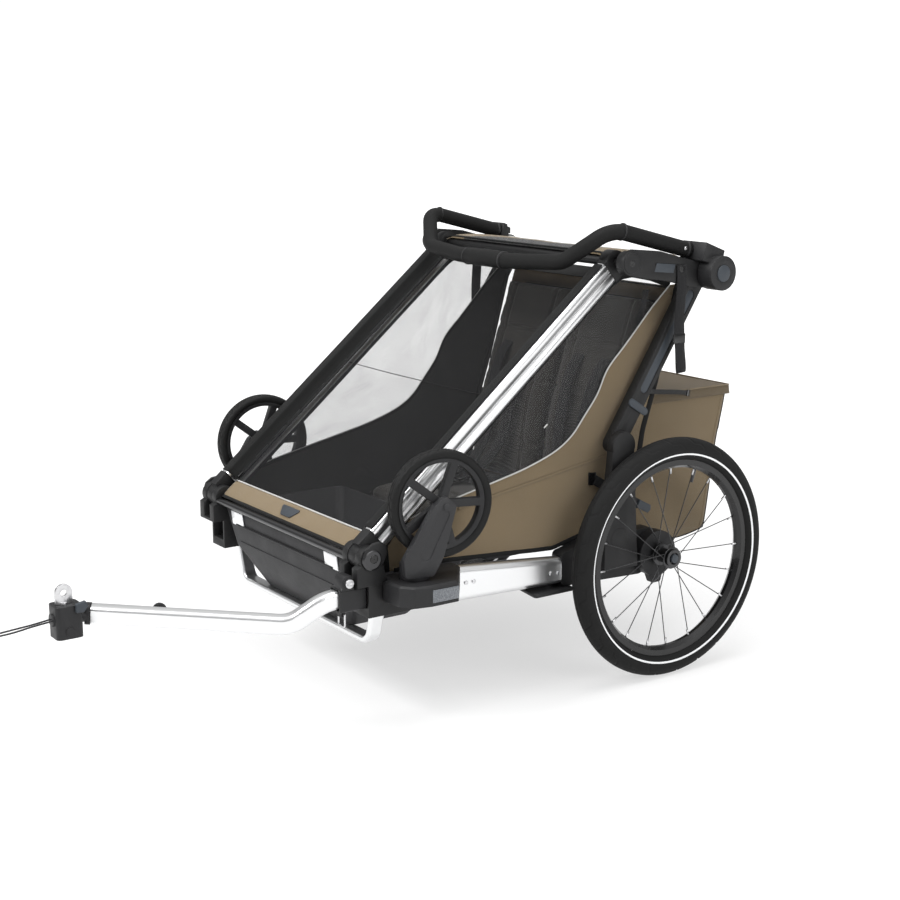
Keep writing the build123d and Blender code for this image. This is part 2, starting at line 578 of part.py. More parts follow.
# ---- luggage bag ------------------------------------------------------------------------------
def bag():
    """Rear luggage bag, open at the top, and its lid."""
    outline = [(BAG_FRONT_Y, BAG_TOP_Z), (6.9, 500), (-12.5, 345), (6, 300), (60, 254),
               (164, 232), (231, 242), (243, 254), (270, 436), (BAG_REAR_Y - 8, BAG_TOP_Z)]
    over = BAG_TOP_Z + 1
    inner = [(BAG_FRONT_Y + BAG_WALL, over), (11, 498), (-8, 345), (9, 303), (61, 258),
             (164, 236.5), (229, 246.5), (239, 257), (266, 437), (BAG_REAR_Y - 12, over)]
    half = BAG_HALF_W
    body = plate(outline, -half, half) - plate(inner, -half + BAG_WALL, half - BAG_WALL)
    add("bag_body", [body])
    lid_z = (BAG_TOP_Z + GAP, BAG_TOP_Z + LID_T)
    lid = block((-half - 3, half + 3), (BAG_FRONT_Y, BAG_REAR_Y), lid_z, 6)
    add("bag_lid", [lid])


# ---- hitch ------------------------------------------------------------------------------------
def hitch():
    """Receiver with its lock knob and bail, the bent arm and what sits on it."""
    path = FilletPolyline(*ARM_ROUTE, radius=ARM_BENDS)
    start = Plane(origin=path @ 0, x_dir=(1, 0, 0), z_dir=path % 0)
    arm = sweep(start * RectangleRounded(ARM_W, ARM_H, 9), path=path)
    inside = RectangleRounded(ARM_W - 2 * TUBE_WALL, ARM_H - 2 * TUBE_WALL, 9 - TUBE_WALL)
    arm -= sweep(start * inside, path=path)
    add("hitch_arm", [arm])
    receiver = block((270, 310), (-746, -690 - GAP), (248, 293.5))
    receiver = fillet(receiver.edges().filter_by(Axis.Y), 7)
    arm_x, arm_z = ARM_ROUTE[0][0], ARM_ROUTE[0][2]
    mouth_w, mouth_h = ARM_W / 2 + GAP, ARM_H / 2 + GAP + 1.5
    receiver -= block((arm_x - mouth_w, arm_x + mouth_w), (-747, -670), (arm_z - mouth_h, arm_z + mouth_h))
    tower = plate([(-744, 292), (-744, 310), (-738, 319), (-724, 319), (-719, 292)], 284, 314)
    lug_at = (-732.0, 242.0)
    lug = block((284, 296), (lug_at[0] - 5, lug_at[0] + 5), (lug_at[1] - 5, 249))
    lug -= cross(280, 300, lug_at, 1.9)
    add("hitch_receiver", [receiver + tower + lug])
    knob = cross(314 + GAP, 320, (-731, 306), 8.5)
    knob -= block((319, 321), (-737, -725), (304.5, 307.5))
    add("hitch_knob", [knob])
    y, top, bottom = lug_at[0], lug_at[1], lug_at[1] - 24
    bail = piped([(279, y, top), (279, y, bottom), (301, y, bottom), (301, y, top)], 5, 1.6)
    add("hitch_bail", [bail + cross(277.6, 302.4, lug_at, 1.6)])
    end = Vector(*ARM_ROUTE[-1])
    run = (end - Vector(*ARM_ROUTE[-2])).normalized()
    cap_plane = Plane(origin=end + run * GAP, z_dir=run, x_dir=(0, 0, 1))
    cap = extrude(cap_plane * RectangleRounded(ARM_H + 2, ARM_W + 2, 9), 9)
    stub = rod((HEAD_X, end.Y - 7.5, 259), (HEAD_X, HEAD_Y[1] - 22, 259), STUB_R)
    add("hitch_fittings", [cap + stub])
    side = Vector(run.Y, -run.X, 0).normalized()
    centre = Vector(*ARM_ROUTE[-2]) + run * 238 + Vector(0, 0, 8)
    hub = centre + side * (ARM_W / 2 + PLAY)
    wheel = rod(tuple(hub), tuple(hub + side * 8), 13)
    add("hitch_thumbwheel", [wheel])


def hitch_head():
    """Coupling head with its gland, the eye plate that takes the axle and the lever."""
    y0, y1 = HEAD_Y
    head = block((HEAD_X - HEAD_W / 2, HEAD_X + HEAD_W / 2), (y0, y1), HEAD_Z, 9)
    head -= rod((HEAD_X, y1 + 1, 259), (HEAD_X, y1 - 24, 259), STUB_R + RUN)
    mid = (y0 + y1) / 2
    head -= rod((HEAD_X, mid - 3, HEAD_Z[1] - 8), (HEAD_X, mid - 3, HEAD_Z[1] + 1), 6 + RUN)
    lock = cross(HEAD_X + HEAD_W / 2, HEAD_X + HEAD_W / 2 + 2, (mid - 2, 242), 8)
    gland = rod((HEAD_X, y0 + 1, 262), (HEAD_X, y0 - 3, 262), 12)
    add("hitch_head", [head + lock + gland])
    eye_y = mid - 3
    plate_low = HEAD_Z[1] + GAP
    y_low, y_high = eye_y - EYE_R, eye_y + EYE_R
    tab = plate([(y_low, plate_low), (y_low, EYE_Z), (y_high, EYE_Z), (y_high, plate_low)],
                HEAD_X - EYE_T / 2, HEAD_X + EYE_T / 2)
    tab += cross(HEAD_X - EYE_T / 2, HEAD_X + EYE_T / 2, (eye_y, EYE_Z), EYE_R)
    tab += rod((HEAD_X, eye_y, HEAD_Z[1] - 7), (HEAD_X, eye_y, plate_low + 3), 6)
    tab -= cross(HEAD_X - 10, HEAD_X + 10, (eye_y, EYE_Z), EYE_BORE_R)
    add("hitch_eye", [tab])
    lever_x = HEAD_X + HEAD_W / 2
    lever = plate([(y1 - 16, 276), (y1 - 16, 292), (y1 + 2, 296), (y1 + 6, 286), (y1 - 2, 276)],
                  lever_x + GAP, lever_x + 8, 2)
    add("hitch_lever", [lever])


def leash():
    """Safety leash: one cord out of the coupling head and back into it."""
    pts = [Vector(*p) for p in LEASH_ROUTE]
    radii = []
    for a, b, c in zip(pts, pts[1:], pts[2:]):
        angle = (b - a).get_angle(c - b)
        short = min((b - a).length, (c - b).length)
        radii.append(0.45 * short / tan(radians(angle / 2)))
    print("leash radii", [round(r, 1) for r in radii])
    cord = piped(LEASH_ROUTE, radii, LEASH_R)
    runs = sum((b - a).length for a, b in zip(pts, pts[1:]))
    print("leash runs", round(runs), "tube length", round(cord.volume / (pi * LEASH_R**2)))
    add("leash_cord", [cord])
    x, y, z = 77.5, -1352, 248
    slider = block((x - 9, x + 9), (y - 9, y + 9), (z - 5, z + 5), 3)
    add("leash_slider", [slider])


chassis()
pods()
foot_tub()
seats()
side_cloth()
front_frame()
top_frame()
uprights()
handlebar()
for one_side in ("left", "right"):
    road_wheel(one_side)
    caster(one_side)
bag()
hitch()
hitch_head()
leash()

os.makedirs("parts", exist_ok=True)
for name, solids in nodes.items():
    moved = [Pos(0, -ORIGIN_Y, 0) * s for s in solids]
    export_step(Compound(children=moved), f"parts/{name}.step")
print("nodes", len(nodes), "origin y", ORIGIN_Y)
print("fold", [round(v, 4) for v in (FOLD_FRONT, FOLD_TOP, FOLD_UPRIGHT)], FOLDED_HUB)
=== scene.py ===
"""Child bicycle trailer: cloth, padding, rubber, cords and finishes around the packed frame."""

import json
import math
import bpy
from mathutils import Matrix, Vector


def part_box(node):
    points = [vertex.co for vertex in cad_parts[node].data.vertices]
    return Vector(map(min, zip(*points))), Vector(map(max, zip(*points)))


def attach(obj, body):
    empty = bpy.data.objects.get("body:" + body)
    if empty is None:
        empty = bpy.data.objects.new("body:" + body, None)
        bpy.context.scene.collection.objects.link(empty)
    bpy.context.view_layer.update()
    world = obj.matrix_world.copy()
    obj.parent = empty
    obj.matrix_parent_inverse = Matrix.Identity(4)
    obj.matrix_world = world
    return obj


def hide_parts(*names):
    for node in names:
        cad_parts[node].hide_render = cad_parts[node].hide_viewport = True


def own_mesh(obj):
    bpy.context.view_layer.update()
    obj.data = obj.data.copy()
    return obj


bl_info = {
    "name": "Child Bicycle Trailer",
    "version": (1, 0, 0),
    "blender": (4, 5, 0),
    "location": "3D View > Sidebar > Trailer",
    "description": "Builds the soft goods, rubber and finishes of a folding child bicycle trailer",
    "category": "Add Mesh",
}

import bmesh
import bpy
import numpy as np
from bpy.props import FloatProperty, FloatVectorProperty, IntProperty, PointerProperty
from mathutils import Matrix, Vector, noise

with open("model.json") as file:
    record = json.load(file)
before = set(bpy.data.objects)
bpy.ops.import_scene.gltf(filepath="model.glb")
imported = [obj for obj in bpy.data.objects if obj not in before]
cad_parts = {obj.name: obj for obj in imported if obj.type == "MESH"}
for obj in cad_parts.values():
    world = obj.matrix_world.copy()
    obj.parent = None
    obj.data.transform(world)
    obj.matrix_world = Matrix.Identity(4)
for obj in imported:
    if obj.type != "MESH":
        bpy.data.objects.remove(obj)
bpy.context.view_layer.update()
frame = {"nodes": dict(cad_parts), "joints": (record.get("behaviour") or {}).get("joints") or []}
NODES = frame["nodes"]

MM = 0.001
JOINTS = {j["name"]: j for j in frame["joints"]}


def pivot(joint):
    """Where a hinge of the packed frame turns."""
    return Vector(JOINTS[joint]["pos_m"])


AXLE = pivot("left_wheel_spin")
FRONT_PIVOT = pivot("front_fold")
TOP_PIVOT = pivot("top_fold")
KNEE_PIVOT = pivot("upright_fold")


def at(x, y, z):
    """A point in millimetres from the ground under the middle of the axle."""
    return Vector((x * MM, AXLE.y + y * MM, z * MM))


# the front tube's centre line, from its lower to its upper fitting
TUBE_LOW = FRONT_PIVOT + Vector((0, 29, 30)) * MM
TUBE_HIGH = TOP_PIVOT + Vector((0, -14, -22)) * MM
TUBE_RUN = TUBE_HIGH - TUBE_LOW
TUBE_UP = Vector((0, -TUBE_RUN.z, TUBE_RUN.y)).normalized()
COVER_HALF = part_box("front_cover")[1].x
BAND_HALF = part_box("cover_band")[1].x
CLOTH_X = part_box("side_panels")[1].x


def on_tube(share, lift, x):
    """A point a share of the way up the front tube's line, lifted square to it."""
    point = TUBE_LOW + TUBE_RUN * share + TUBE_UP * lift * MM
    return Vector((x, point.y, point.z))


# ---- sizes and colours that a user would change ----------------------------------------------------
def colour(label, note, value):
    """A colour setting with its default."""
    return FloatVectorProperty(name=label, description=note, subtype="COLOR", size=3, min=0, max=1, default=value)


def length(label, note, value):
    """A length setting in metres with its default."""
    return FloatProperty(name=label, description=note, unit="LENGTH", min=0, default=value, precision=4)


class TrailerColours(bpy.types.PropertyGroup):
    """Colours of the trailer's cloth, plastic and metal."""

    tan: colour("Tan cloth", "Outer shell cloth", (0.190, 0.141, 0.080))
    dark: colour("Dark cloth", "Roof and lining cloth", (0.017, 0.017, 0.017))
    lining: colour("Seat lining", "Brown-grey cloth of the seats", (0.034, 0.030, 0.025))
    shell: colour("Black plastic", "Moulded plastic parts", (0.015, 0.015, 0.016))
    casting: colour("Black casting", "Joints and castings", (0.010, 0.010, 0.0105))
    rubber: colour("Rubber", "Tyres and foam", (0.010, 0.010, 0.010))
    slate: colour("Slate plastic", "Buttons, clips and inserts", (0.040, 0.047, 0.056))
    alloy: colour("Alloy", "Anodised tubes", (0.78, 0.785, 0.79))
    piping: colour("Piping", "Light edge piping", (0.62, 0.62, 0.60))
    floor: colour("Floor", "Studio floor", (0.93, 0.93, 0.93))


class TrailerSizes(bpy.types.PropertyGroup):
    """Sizes of the soft goods and of the fine detail."""

    cloth: length("Cloth thickness", "Thickness of the shell cloth", 0.0009)
    piping: length("Piping radius", "Radius of the sewn edge piping", 0.0016)
    cover_sag: length("Cover sag", "How far the mesh cover dips between the tubes", 0.006)
    wall_bulge: length("Wall bulge", "How far the side cloth bellies out", 0.006)
    pad_voxel: length("Pad voxel", "Cell size of the padding before it is blown up", 0.007)
    pad_cap: length("Pad cap", "The most that a point of a pad may move", 0.010)
    tread_depth: length("Tread depth", "Depth of the grooves in the road tyres", 0.0016)
    strap: length("Webbing width", "Width of the long straps", 0.026)
    tread_steps: IntProperty(name="Tread steps", description="Steps round a road tyre", default=640, min=90)
    lens: FloatProperty(name="Lens", description="Focal length in mm on a 36 mm sensor", default=63.213)


def colours():
    return bpy.context.scene.trailer_colours


def sizes():
    return bpy.context.scene.trailer_sizes


# ---- mesh helpers ----------------------------------------------------------------------------------
def add_mesh(name, verts, faces, uvs=None, smooth=True):
    """A new object from points and faces, with a texture place for each point."""
    mesh = bpy.data.meshes.new(name)
    mesh.from_pydata([tuple(v) for v in verts], [], faces)
    mesh.polygons.foreach_set("use_smooth", [smooth] * len(mesh.polygons))
    if uvs is not None:
        layer = mesh.uv_layers.new(name="UVMap")
        for loop in mesh.loops:
            layer.data[loop.index].uv = uvs[loop.vertex_index]
    mesh.validate()
    mesh.update()
    obj = bpy.data.objects.new(name, mesh)
    bpy.context.scene.collection.objects.link(obj)
    return obj


def run_length(points):
    return sum((b - a).length for a, b in zip(points, points[1:]))


def sheet(name, place, cells, material, lining=None, thickness=None, pick=None, offset=0.0):
    """A skin whose points come from place(u, v), u and v running from 0 to 1."""
    nu, nv = cells
    rows = [[place(i / nu, j / nv) for i in range(nu + 1)] for j in range(nv + 1)]
    width = run_length(rows[nv // 2])
    height = run_length([row[nu // 2] for row in rows])
    verts = [p for row in rows for p in row]
    uvs = [(i / nu * width, j / nv * height) for j in range(nv + 1) for i in range(nu + 1)]
    w = nu + 1
    faces = [(j * w + i, j * w + i + 1, (j + 1) * w + i + 1, (j + 1) * w + i)
             for j in range(nv) for i in range(nu)]
    obj = add_mesh(name, verts, faces, uvs)
    for one in material if isinstance(material, (list, tuple)) else [material]:
        obj.data.materials.append(one)
    if pick:
        for face in obj.data.polygons:
            j, i = divmod(face.index, nu)
            face.material_index = pick((i + 0.5) / nu, (j + 0.5) / nv)
    thickness = sizes().cloth if thickness is None else thickness
    if thickness:
        solid = obj.modifiers.new("thickness", "SOLIDIFY")
        solid.thickness = thickness
        solid.offset = offset
        if lining:
            obj.data.materials.append(lining)
            solid.material_offset = 1
            solid.material_offset_rim = 0
    return obj


def curved(points, steps):
    """A smooth line through points, evenly spaced by parameter."""
    pts = [Vector(p) for p in points]
    line = []
    padded = [pts[0] * 2 - pts[1]] + pts + [pts[-1] * 2 - pts[-2]]
    for k in range(len(pts) - 1):
        p0, p1, p2, p3 = padded[k:k + 4]
        for s in range(steps):
            t = s / steps
            line.append(0.5 * (2 * p1 + (p2 - p0) * t + (2 * p0 - 5 * p1 + 4 * p2 - p3) * t ** 2
                               + (3 * p1 - p0 - 3 * p2 + p3) * t ** 3))
    return line + [pts[-1]]


def at_share(line, share):
    """The point a share of the length along a line of points."""
    lengths = [(b - a).length for a, b in zip(line, line[1:])]
    target = share * sum(lengths)
    for a, b, part in zip(line, line[1:], lengths):
        if target <= part or b is line[-1]:
            return a.lerp(b, min(1.0, target / part if part else 0.0))
        target -= part
    return line[-1]


def circle(radius, sides=12):
    return [(radius * math.cos(math.tau * k / sides), radius * math.sin(math.tau * k / sides)) for k in range(sides)]


def band(width, thick):
    """The section of a flat strap, its edges softened."""
    w, t = width / 2, thick / 2
    return [(-w, -t * 0.5), (-w + t, -t), (w - t, -t), (w, -t * 0.5), (w, t * 0.5), (w - t, t), (-w + t, t),
            (-w, t * 0.5)]


def swept(name, line, section, material, across=None, taper=None, closed=False):
    """A section carried along a line of points, its first axis kept along across."""
    count, n = len(line), len(section)
    verts, uvs, run = [], [], 0.0
    side = None
    for k, point in enumerate(line):
        before = line[k - 1] if k or closed else line[0]
        after = line[(k + 1) % count] if k < count - 1 or closed else line[-1]
        ahead = (after - before).normalized()
        wanted = across(k / (count - 1)) if callable(across) else across
        if wanted is None:
            wanted = side if side is not None else Vector((1, 0, 0))
            if side is None and abs(ahead.x) > 0.9:
                wanted = Vector((0, 0, 1))
        side = (Vector(wanted) - ahead * ahead.dot(Vector(wanted))).normalized()
        up = side.cross(ahead)
        size = taper(k / (count - 1)) if taper else 1.0
        run += (point - line[k - 1]).length if k else 0.0
        for m, (a, b) in enumerate(section):
            verts.append(point + side * a * size + up * b * size)
            uvs.append((m / n * 0.04, run))
    loops = count if closed else count - 1
    faces = [(k * n + m, k * n + (m + 1) % n, (k + 1) % count * n + (m + 1) % n, (k + 1) % count * n + m)
             for k in range(loops) for m in range(n)]
    if not closed:
        faces += [tuple(range(n))[::-1], tuple((count - 1) * n + m for m in range(n))]
    obj = add_mesh(name, verts, faces, uvs)
    obj.data.materials.append(material)
    return obj


def spun(name, section, centre, axis, steps, material, pick=None, dent=None):
    """An outline of (radius, x) points spun about an axle; dent(turn, share) sinks a point."""
    turn = Vector((1, 0, 0)).rotation_difference(Vector(axis)).to_matrix()
    n = len(section)
    verts = []
    for k in range(steps):
        a = math.tau * k / steps
        for m, (r, x) in enumerate(section):
            sunk = dent(k / steps, m / (n - 1)) if dent else (0.0, 0.0)
            verts.append(Vector(centre) + turn @ Vector((x + sunk[1], (r + sunk[0]) * math.sin(a),
                                                         (r + sunk[0]) * math.cos(a))))
    faces = [(k * n + m, k * n + (m + 1) % n, (k + 1) % steps * n + (m + 1) % n, (k + 1) % steps * n + m)
             for k in range(steps) for m in range(n)]
    obj = add_mesh(name, verts, faces)
    for one in material if isinstance(material, (list, tuple)) else [material]:
        obj.data.materials.append(one)
    if pick:
        for face in obj.data.polygons:
            face.material_index = pick(face.index // n / steps, face.index % n / (n - 1))
    return obj


def plate(name, outline, thickness, origin, across, up, material, edge=0.0):
    """A flat moulded piece: an outline in a plane, its edges rounded."""
    across, up = Vector(across).normalized(), Vector(up).normalized()
    normal = across.cross(up)
    mesh = bmesh.new()
    ring = [mesh.verts.new(Vector(origin) + across * a * MM + up * b * MM) for a, b in outline]
    face = mesh.faces.new(ring)
    grown = bmesh.ops.extrude_face_region(mesh, geom=[face])
    for v in grown["geom"]:
        if isinstance(v, bmesh.types.BMVert):
            v.co += normal * thickness * MM
    bmesh.ops.recalc_face_normals(mesh, faces=mesh.faces)
    data = bpy.data.meshes.new(name)
    mesh.to_mesh(data)
    mesh.free()
    obj = bpy.data.objects.new(name, data)
    bpy.context.scene.collection.objects.link(obj)
    obj.data.materials.append(material)
    if edge:
        soften(obj, edge * MM)
    return obj


def soften(obj, width, angle=32.0, segments=3):
    """Rounds an object's sharp edges."""
    bevel = obj.modifiers.new("edges", "BEVEL")
    bevel.width = width
    bevel.segments = segments
    bevel.limit_method = "ANGLE"
    bevel.angle_limit = math.radians(angle)
    bevel.use_clamp_overlap = True
    bevel.harden_normals = False
    for face in obj.data.polygons:
        face.use_smooth = True
    return obj


def disc(name, centre, axis, radius, depth, material, dome=0.25, steps=40):
    """A round cap with a rounded rim and a slightly domed face."""
    r, lip = radius, min(radius * 0.22, depth * 0.6)
    arc = [(r - lip + lip * math.cos(t), depth - lip + lip * math.sin(t)) for t in
           [math.pi / 2 * k / 4 for k in range(5)]]
    crown = depth * (1 + dome * 0.3)
    section = [(r, 0.0)] + arc + [((r - lip) * s, depth + (crown - depth) * (1 - s * s)) for s in (0.75, 0.5, 0.25)]
    section += [(0.0002, crown), (0.0002, 0.0)]
    return spun(name, section, centre, axis, steps, material)


def frozen(obj):
    """The object's mesh with its modifiers applied."""
    graph = bpy.context.evaluated_depsgraph_get()
    mesh = bpy.data.meshes.new_from_object(obj.evaluated_get(graph))
    mesh.name = obj.name
    obj.modifiers.clear()
    obj.data = mesh
    return obj


def joined(name, objects):
    """Several meshes as one object."""
    for obj in objects:
        frozen(obj)
    mesh = bmesh.new()
    slots = []
    uv_needed = any(o.data.uv_layers for o in objects)
    for obj in objects:
        first_slot = len(slots)
        slots += list(obj.data.materials)
        if uv_needed and not obj.data.uv_layers:
            obj.data.uv_layers.new(name="UVMap")
        start = len(mesh.faces)
        mesh.from_mesh(obj.data)
        mesh.faces.ensure_lookup_table()
        for face in mesh.faces[start:]:
            face.material_index += first_slot
    data = bpy.data.meshes.new(name)
    mesh.to_mesh(data)
    mesh.free()
    for one in slots:
        data.materials.append(one)
    for obj in objects:
        bpy.data.objects.remove(obj)
    out = bpy.data.objects.new(name, data)
    bpy.context.scene.collection.objects.link(out)
    return out


def twin(obj, name):
    """A copy on the other side of the trailer."""
    frozen(obj)
    copy = obj.copy()
    copy.data = obj.data.copy()
    copy.name = name
    copy.data.transform(Matrix.Scale(-1, 4, (1, 0, 0)))
    copy.data.flip_normals()
    bpy.context.scene.collection.objects.link(copy)
    return copy


def pair(obj, name):
    """Names an object for the left side and makes the right one."""
    obj.name = "left_" + name
    return obj, twin(obj, "right_" + name)


def crumple(obj):
    """Rides on the chassis and flattens as the frame folds."""
    if obj.modifiers:
        frozen(obj)
    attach(obj, "chassis")
    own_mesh(obj)
    return obj


def ripple(point, size, seed=0.0):
    """Smooth unevenness from -1 to 1, the same each time."""
    return noise.noise(Vector((point.x, point.y, point.z)) / size + Vector((seed, seed * 1.7, -seed)))


def swell(x):
    """1 in the middle of 0..1 and 0 at both ends."""
    return max(0.0, 1.0 - (2.0 * x - 1.0) ** 2)


# ---- shader node groups ----------------------------------------------------------------------------
FLOAT, VECTOR, COLOUR = "NodeSocketFloat", "NodeSocketVector", "NodeSocketColor"


class Tree:
    """Short hand for wiring one node tree."""

    def __init__(self, tree):
        self.tree = tree

    def node(self, kind, inputs=None, **settings):
        made = self.tree.nodes.new("ShaderNode" + kind)
        for key, value in settings.items():
            setattr(made, key, value)
        for key, value in (inputs or {}).items():
            self.put(made.inputs[key], value)
        return made

    def put(self, socket, value):
        if isinstance(value, bpy.types.NodeSocket):
            self.tree.links.new(value, socket)
        else:
            socket.default_value = value

    def math(self, operation, a, b=0.0, c=None, clamp=False):
        made = self.node("Math", operation=operation, use_clamp=clamp)
        self.put(made.inputs[0], a)
        self.put(made.inputs[1], b)
        if c is not None:
            self.put(made.inputs[2], c)
        return made.outputs[0]

    def blend(self, share, a, b):
        made = self.node("Mix", data_type="RGBA")
        self.put(made.inputs[0], share)
        self.put(made.inputs[6], a)
        self.put(made.inputs[7], b)
        return made.outputs[2]

    def spread(self, value, low, high, to_low, to_high):
        made = self.node("MapRange", {"Value": value, "From Min": low, "From Max": high, "To Min": to_low,
                                      "To Max": to_high})
        return made.outputs["Result"]


def group(name, inputs, outputs):
    """An empty shader group with named sockets; returns its tree, inputs and outputs."""
    made = bpy.data.node_groups.new(name, "ShaderNodeTree")
    for label, kind, default in inputs:
        socket = made.interface.new_socket(label, in_out="INPUT", socket_type=kind)
        if kind != VECTOR:
            socket.default_value = (*default, 1.0) if kind == COLOUR else default
    for label, kind in outputs:
        made.interface.new_socket(label, in_out="OUTPUT", socket_type=kind)
    tree = Tree(made)
    return tree, tree.tree.nodes.new("NodeGroupInput").outputs, tree.tree.nodes.new("NodeGroupOutput").inputs


def weave_group():
    """Plain weave with flecked yarn: colour and height."""
    tree, i, o = group("Woven cloth", [("Place", VECTOR, None), ("Yarn", COLOUR, (0.2, 0.2, 0.2)),
                                       ("Shade", COLOUR, (0.1, 0.1, 0.1)), ("Pitch", FLOAT, 900.0),
                                       ("Fleck", FLOAT, 0.5)], [("Color", COLOUR), ("Height", FLOAT)])
    xyz = tree.node("SeparateXYZ", {0: i["Place"]}).outputs
    turns = tree.math("MULTIPLY", i["Pitch"], math.tau)
    warp = tree.math("SINE", tree.math("MULTIPLY", xyz[0], turns))
    weft = tree.math("SINE", tree.math("MULTIPLY", xyz[1], turns))
    height = tree.math("MULTIPLY", warp, weft)
    fine = tree.node("TexNoise", {"Vector": i["Place"], "Scale": 620.0, "Detail": 2.0}).outputs["Fac"]
    broad = tree.node("TexNoise", {"Vector": i["Place"], "Scale": 9.0, "Detail": 3.0}).outputs["Fac"]
    fleck = tree.spread(fine, 0.35, 0.65, 0.0, 1.0)
    mottle = tree.spread(broad, 0.3, 0.7, -0.12, 0.12)
    share = tree.math("MULTIPLY_ADD", fleck, i["Fleck"], mottle, clamp=True)
    tree.put(o["Color"], tree.blend(share, i["Yarn"], i["Shade"]))
    tree.put(o["Height"], tree.math("MULTIPLY_ADD", fine, 0.6, height))
    return tree.tree


def grain_group():
    """Fine moulded grain with worn, dusty patches: colour, height and roughness."""
    tree, i, o = group("Moulded grain", [("Place", VECTOR, None), ("Clean", COLOUR, (0.03, 0.03, 0.03)),
                                         ("Worn", COLOUR, (0.06, 0.06, 0.06)), ("Grain", FLOAT, 700.0),
                                         ("Wear", FLOAT, 0.3), ("Gloss low", FLOAT, 0.42),
                                         ("Gloss high", FLOAT, 0.58)],
                       [("Color", COLOUR), ("Height", FLOAT), ("Roughness", FLOAT)])
    fine = tree.node("TexNoise", {"Vector": i["Place"], "Scale": i["Grain"], "Detail": 2.0}).outputs["Fac"]
    patch = tree.node("TexNoise", {"Vector": i["Place"], "Scale": 14.0, "Detail": 6.0,
                                   "Roughness": 0.65}).outputs["Fac"]
    rubbed = tree.math("MULTIPLY", tree.spread(patch, 0.5, 0.78, 0.0, 1.0), i["Wear"], clamp=True)
    tree.put(o["Color"], tree.blend(rubbed, i["Clean"], i["Worn"]))
    tree.put(o["Height"], fine)
    rough = tree.node("MapRange", {"Value": patch, "From Min": 0.3, "From Max": 0.7})
    tree.put(rough.inputs["To Min"], i["Gloss low"])
    tree.put(rough.inputs["To Max"], i["Gloss high"])
    tree.put(o["Roughness"], rough.outputs["Result"])
    return tree.tree


def drawn_group():
    """Satin grain and small handling marks of anodised metal."""
    tree, i, o = group("Anodised metal", [("Place", VECTOR, None), ("Metal", COLOUR, (0.8, 0.8, 0.8)),
                                       ("Mark", COLOUR, (0.6, 0.6, 0.6))],
                       [("Color", COLOUR), ("Height", FLOAT), ("Roughness", FLOAT)])
    fine = tree.node("TexNoise", {"Vector": i["Place"], "Scale": 1400.0, "Detail": 1.0}).outputs["Fac"]
    patch = tree.node("TexNoise", {"Vector": i["Place"], "Scale": 22.0, "Detail": 7.0}).outputs["Fac"]
    mark = tree.spread(patch, 0.66, 0.76, 0.0, 0.22)
    tree.put(o["Color"], tree.blend(mark, i["Metal"], i["Mark"]))
    tree.put(o["Height"], fine)
    tree.put(o["Roughness"], tree.math("MULTIPLY_ADD", fine, 0.05, tree.math("MULTIPLY_ADD", mark, 0.2, 0.27)))
    return tree.tree


def net_group():
    """Knitted insect net: coverage of the yarn and its height."""
    tree, i, o = group("Knitted net", [("Place", VECTOR, None), ("Pitch", FLOAT, 650.0), ("Open", FLOAT, 0.1),
                                       ("Closed", FLOAT, 0.6)], [("Alpha", FLOAT), ("Height", FLOAT)])
    xyz = tree.node("SeparateXYZ", {0: i["Place"]}).outputs
    turns = tree.math("MULTIPLY", i["Pitch"], math.tau)
    across = tree.math("ABSOLUTE", tree.math("SINE", tree.math("MULTIPLY", xyz[0], turns)))
    down = tree.math("ABSOLUTE", tree.math("SINE", tree.math("MULTIPLY", xyz[1], turns)))
    hole = tree.math("MULTIPLY", across, down)
    made = tree.node("MapRange", {"Value": hole, "From Min": 0.25, "From Max": 0.45})
    tree.put(made.inputs["To Min"], i["Closed"])
    tree.put(made.inputs["To Max"], i["Open"])
    tree.put(o["Alpha"], made.outputs["Result"])
    tree.put(o["Height"], tree.math("SUBTRACT", 1.0, hole))
    return tree.tree


GROUPS = {}
MATERIALS = {}


def place_of(tree, by_uv):
    """Texture place: the cloth's own cut, or the piece's own frame for moulded and metal parts."""
    if by_uv:
        return tree.node("UVMap", uv_map="UVMap").outputs[0]
    return tree.node("TexCoord").outputs["Object"]


def rgba(value):
    """A colour of three numbers with its alpha; anything else as it is."""
    return (*value, 1.0) if isinstance(value, (tuple, list)) and len(value) == 3 else value


def grouped(tree, kind, values):
    """One of the shared shader groups with its inputs set."""
    made = tree.node("Group", {}, node_tree=GROUPS[kind])
    for key, value in values.items():
        tree.put(made.inputs[key], rgba(value))
    return made


def finish(name, by_uv=False, **values):
    """A material with its Principled shader; values are set on the shader's own sockets."""
    made = bpy.data.materials.new(name)
    made.use_nodes = True
    tree = Tree(made.node_tree)
    shader = made.node_tree.nodes["Principled BSDF"]
    for key, value in values.items():
        shader.inputs[key.replace("_", " ")].default_value = rgba(value)
    MATERIALS[name] = made
    return tree, shader, place_of(tree, by_uv)


def bump(tree, shader, height, distance, strength=0.6, edge=0.0):
    """Fine relief on a shader, with its mesh edges read as slightly rounded."""
    made = tree.node("Bump", {"Height": height, "Distance": distance, "Strength": strength})
    if edge:
        rounded = tree.node("Bevel", {"Radius": edge}, samples=4)
        tree.put(made.inputs["Normal"], rounded.outputs[0])
    tree.put(shader.inputs["Normal"], made.outputs[0])


def cloth(name, yarn, shade, pitch=900.0, fleck=0.5, sheen=0.25, relief=0.00035, by_uv=True, **extra):
    """A woven finish."""
    tree, shader, place = finish(name, by_uv, Roughness=0.82, Sheen_Weight=sheen, Sheen_Roughness=0.45,
                                 Specular_IOR_Level=0.25, **extra)
    woven = grouped(tree, "weave", {"Place": place, "Yarn": yarn, "Shade": shade, "Pitch": pitch, "Fleck": fleck})
    tree.put(shader.inputs["Base Color"], woven.outputs["Color"])
    bump(tree, shader, woven.outputs["Height"], relief)
    return tree, shader


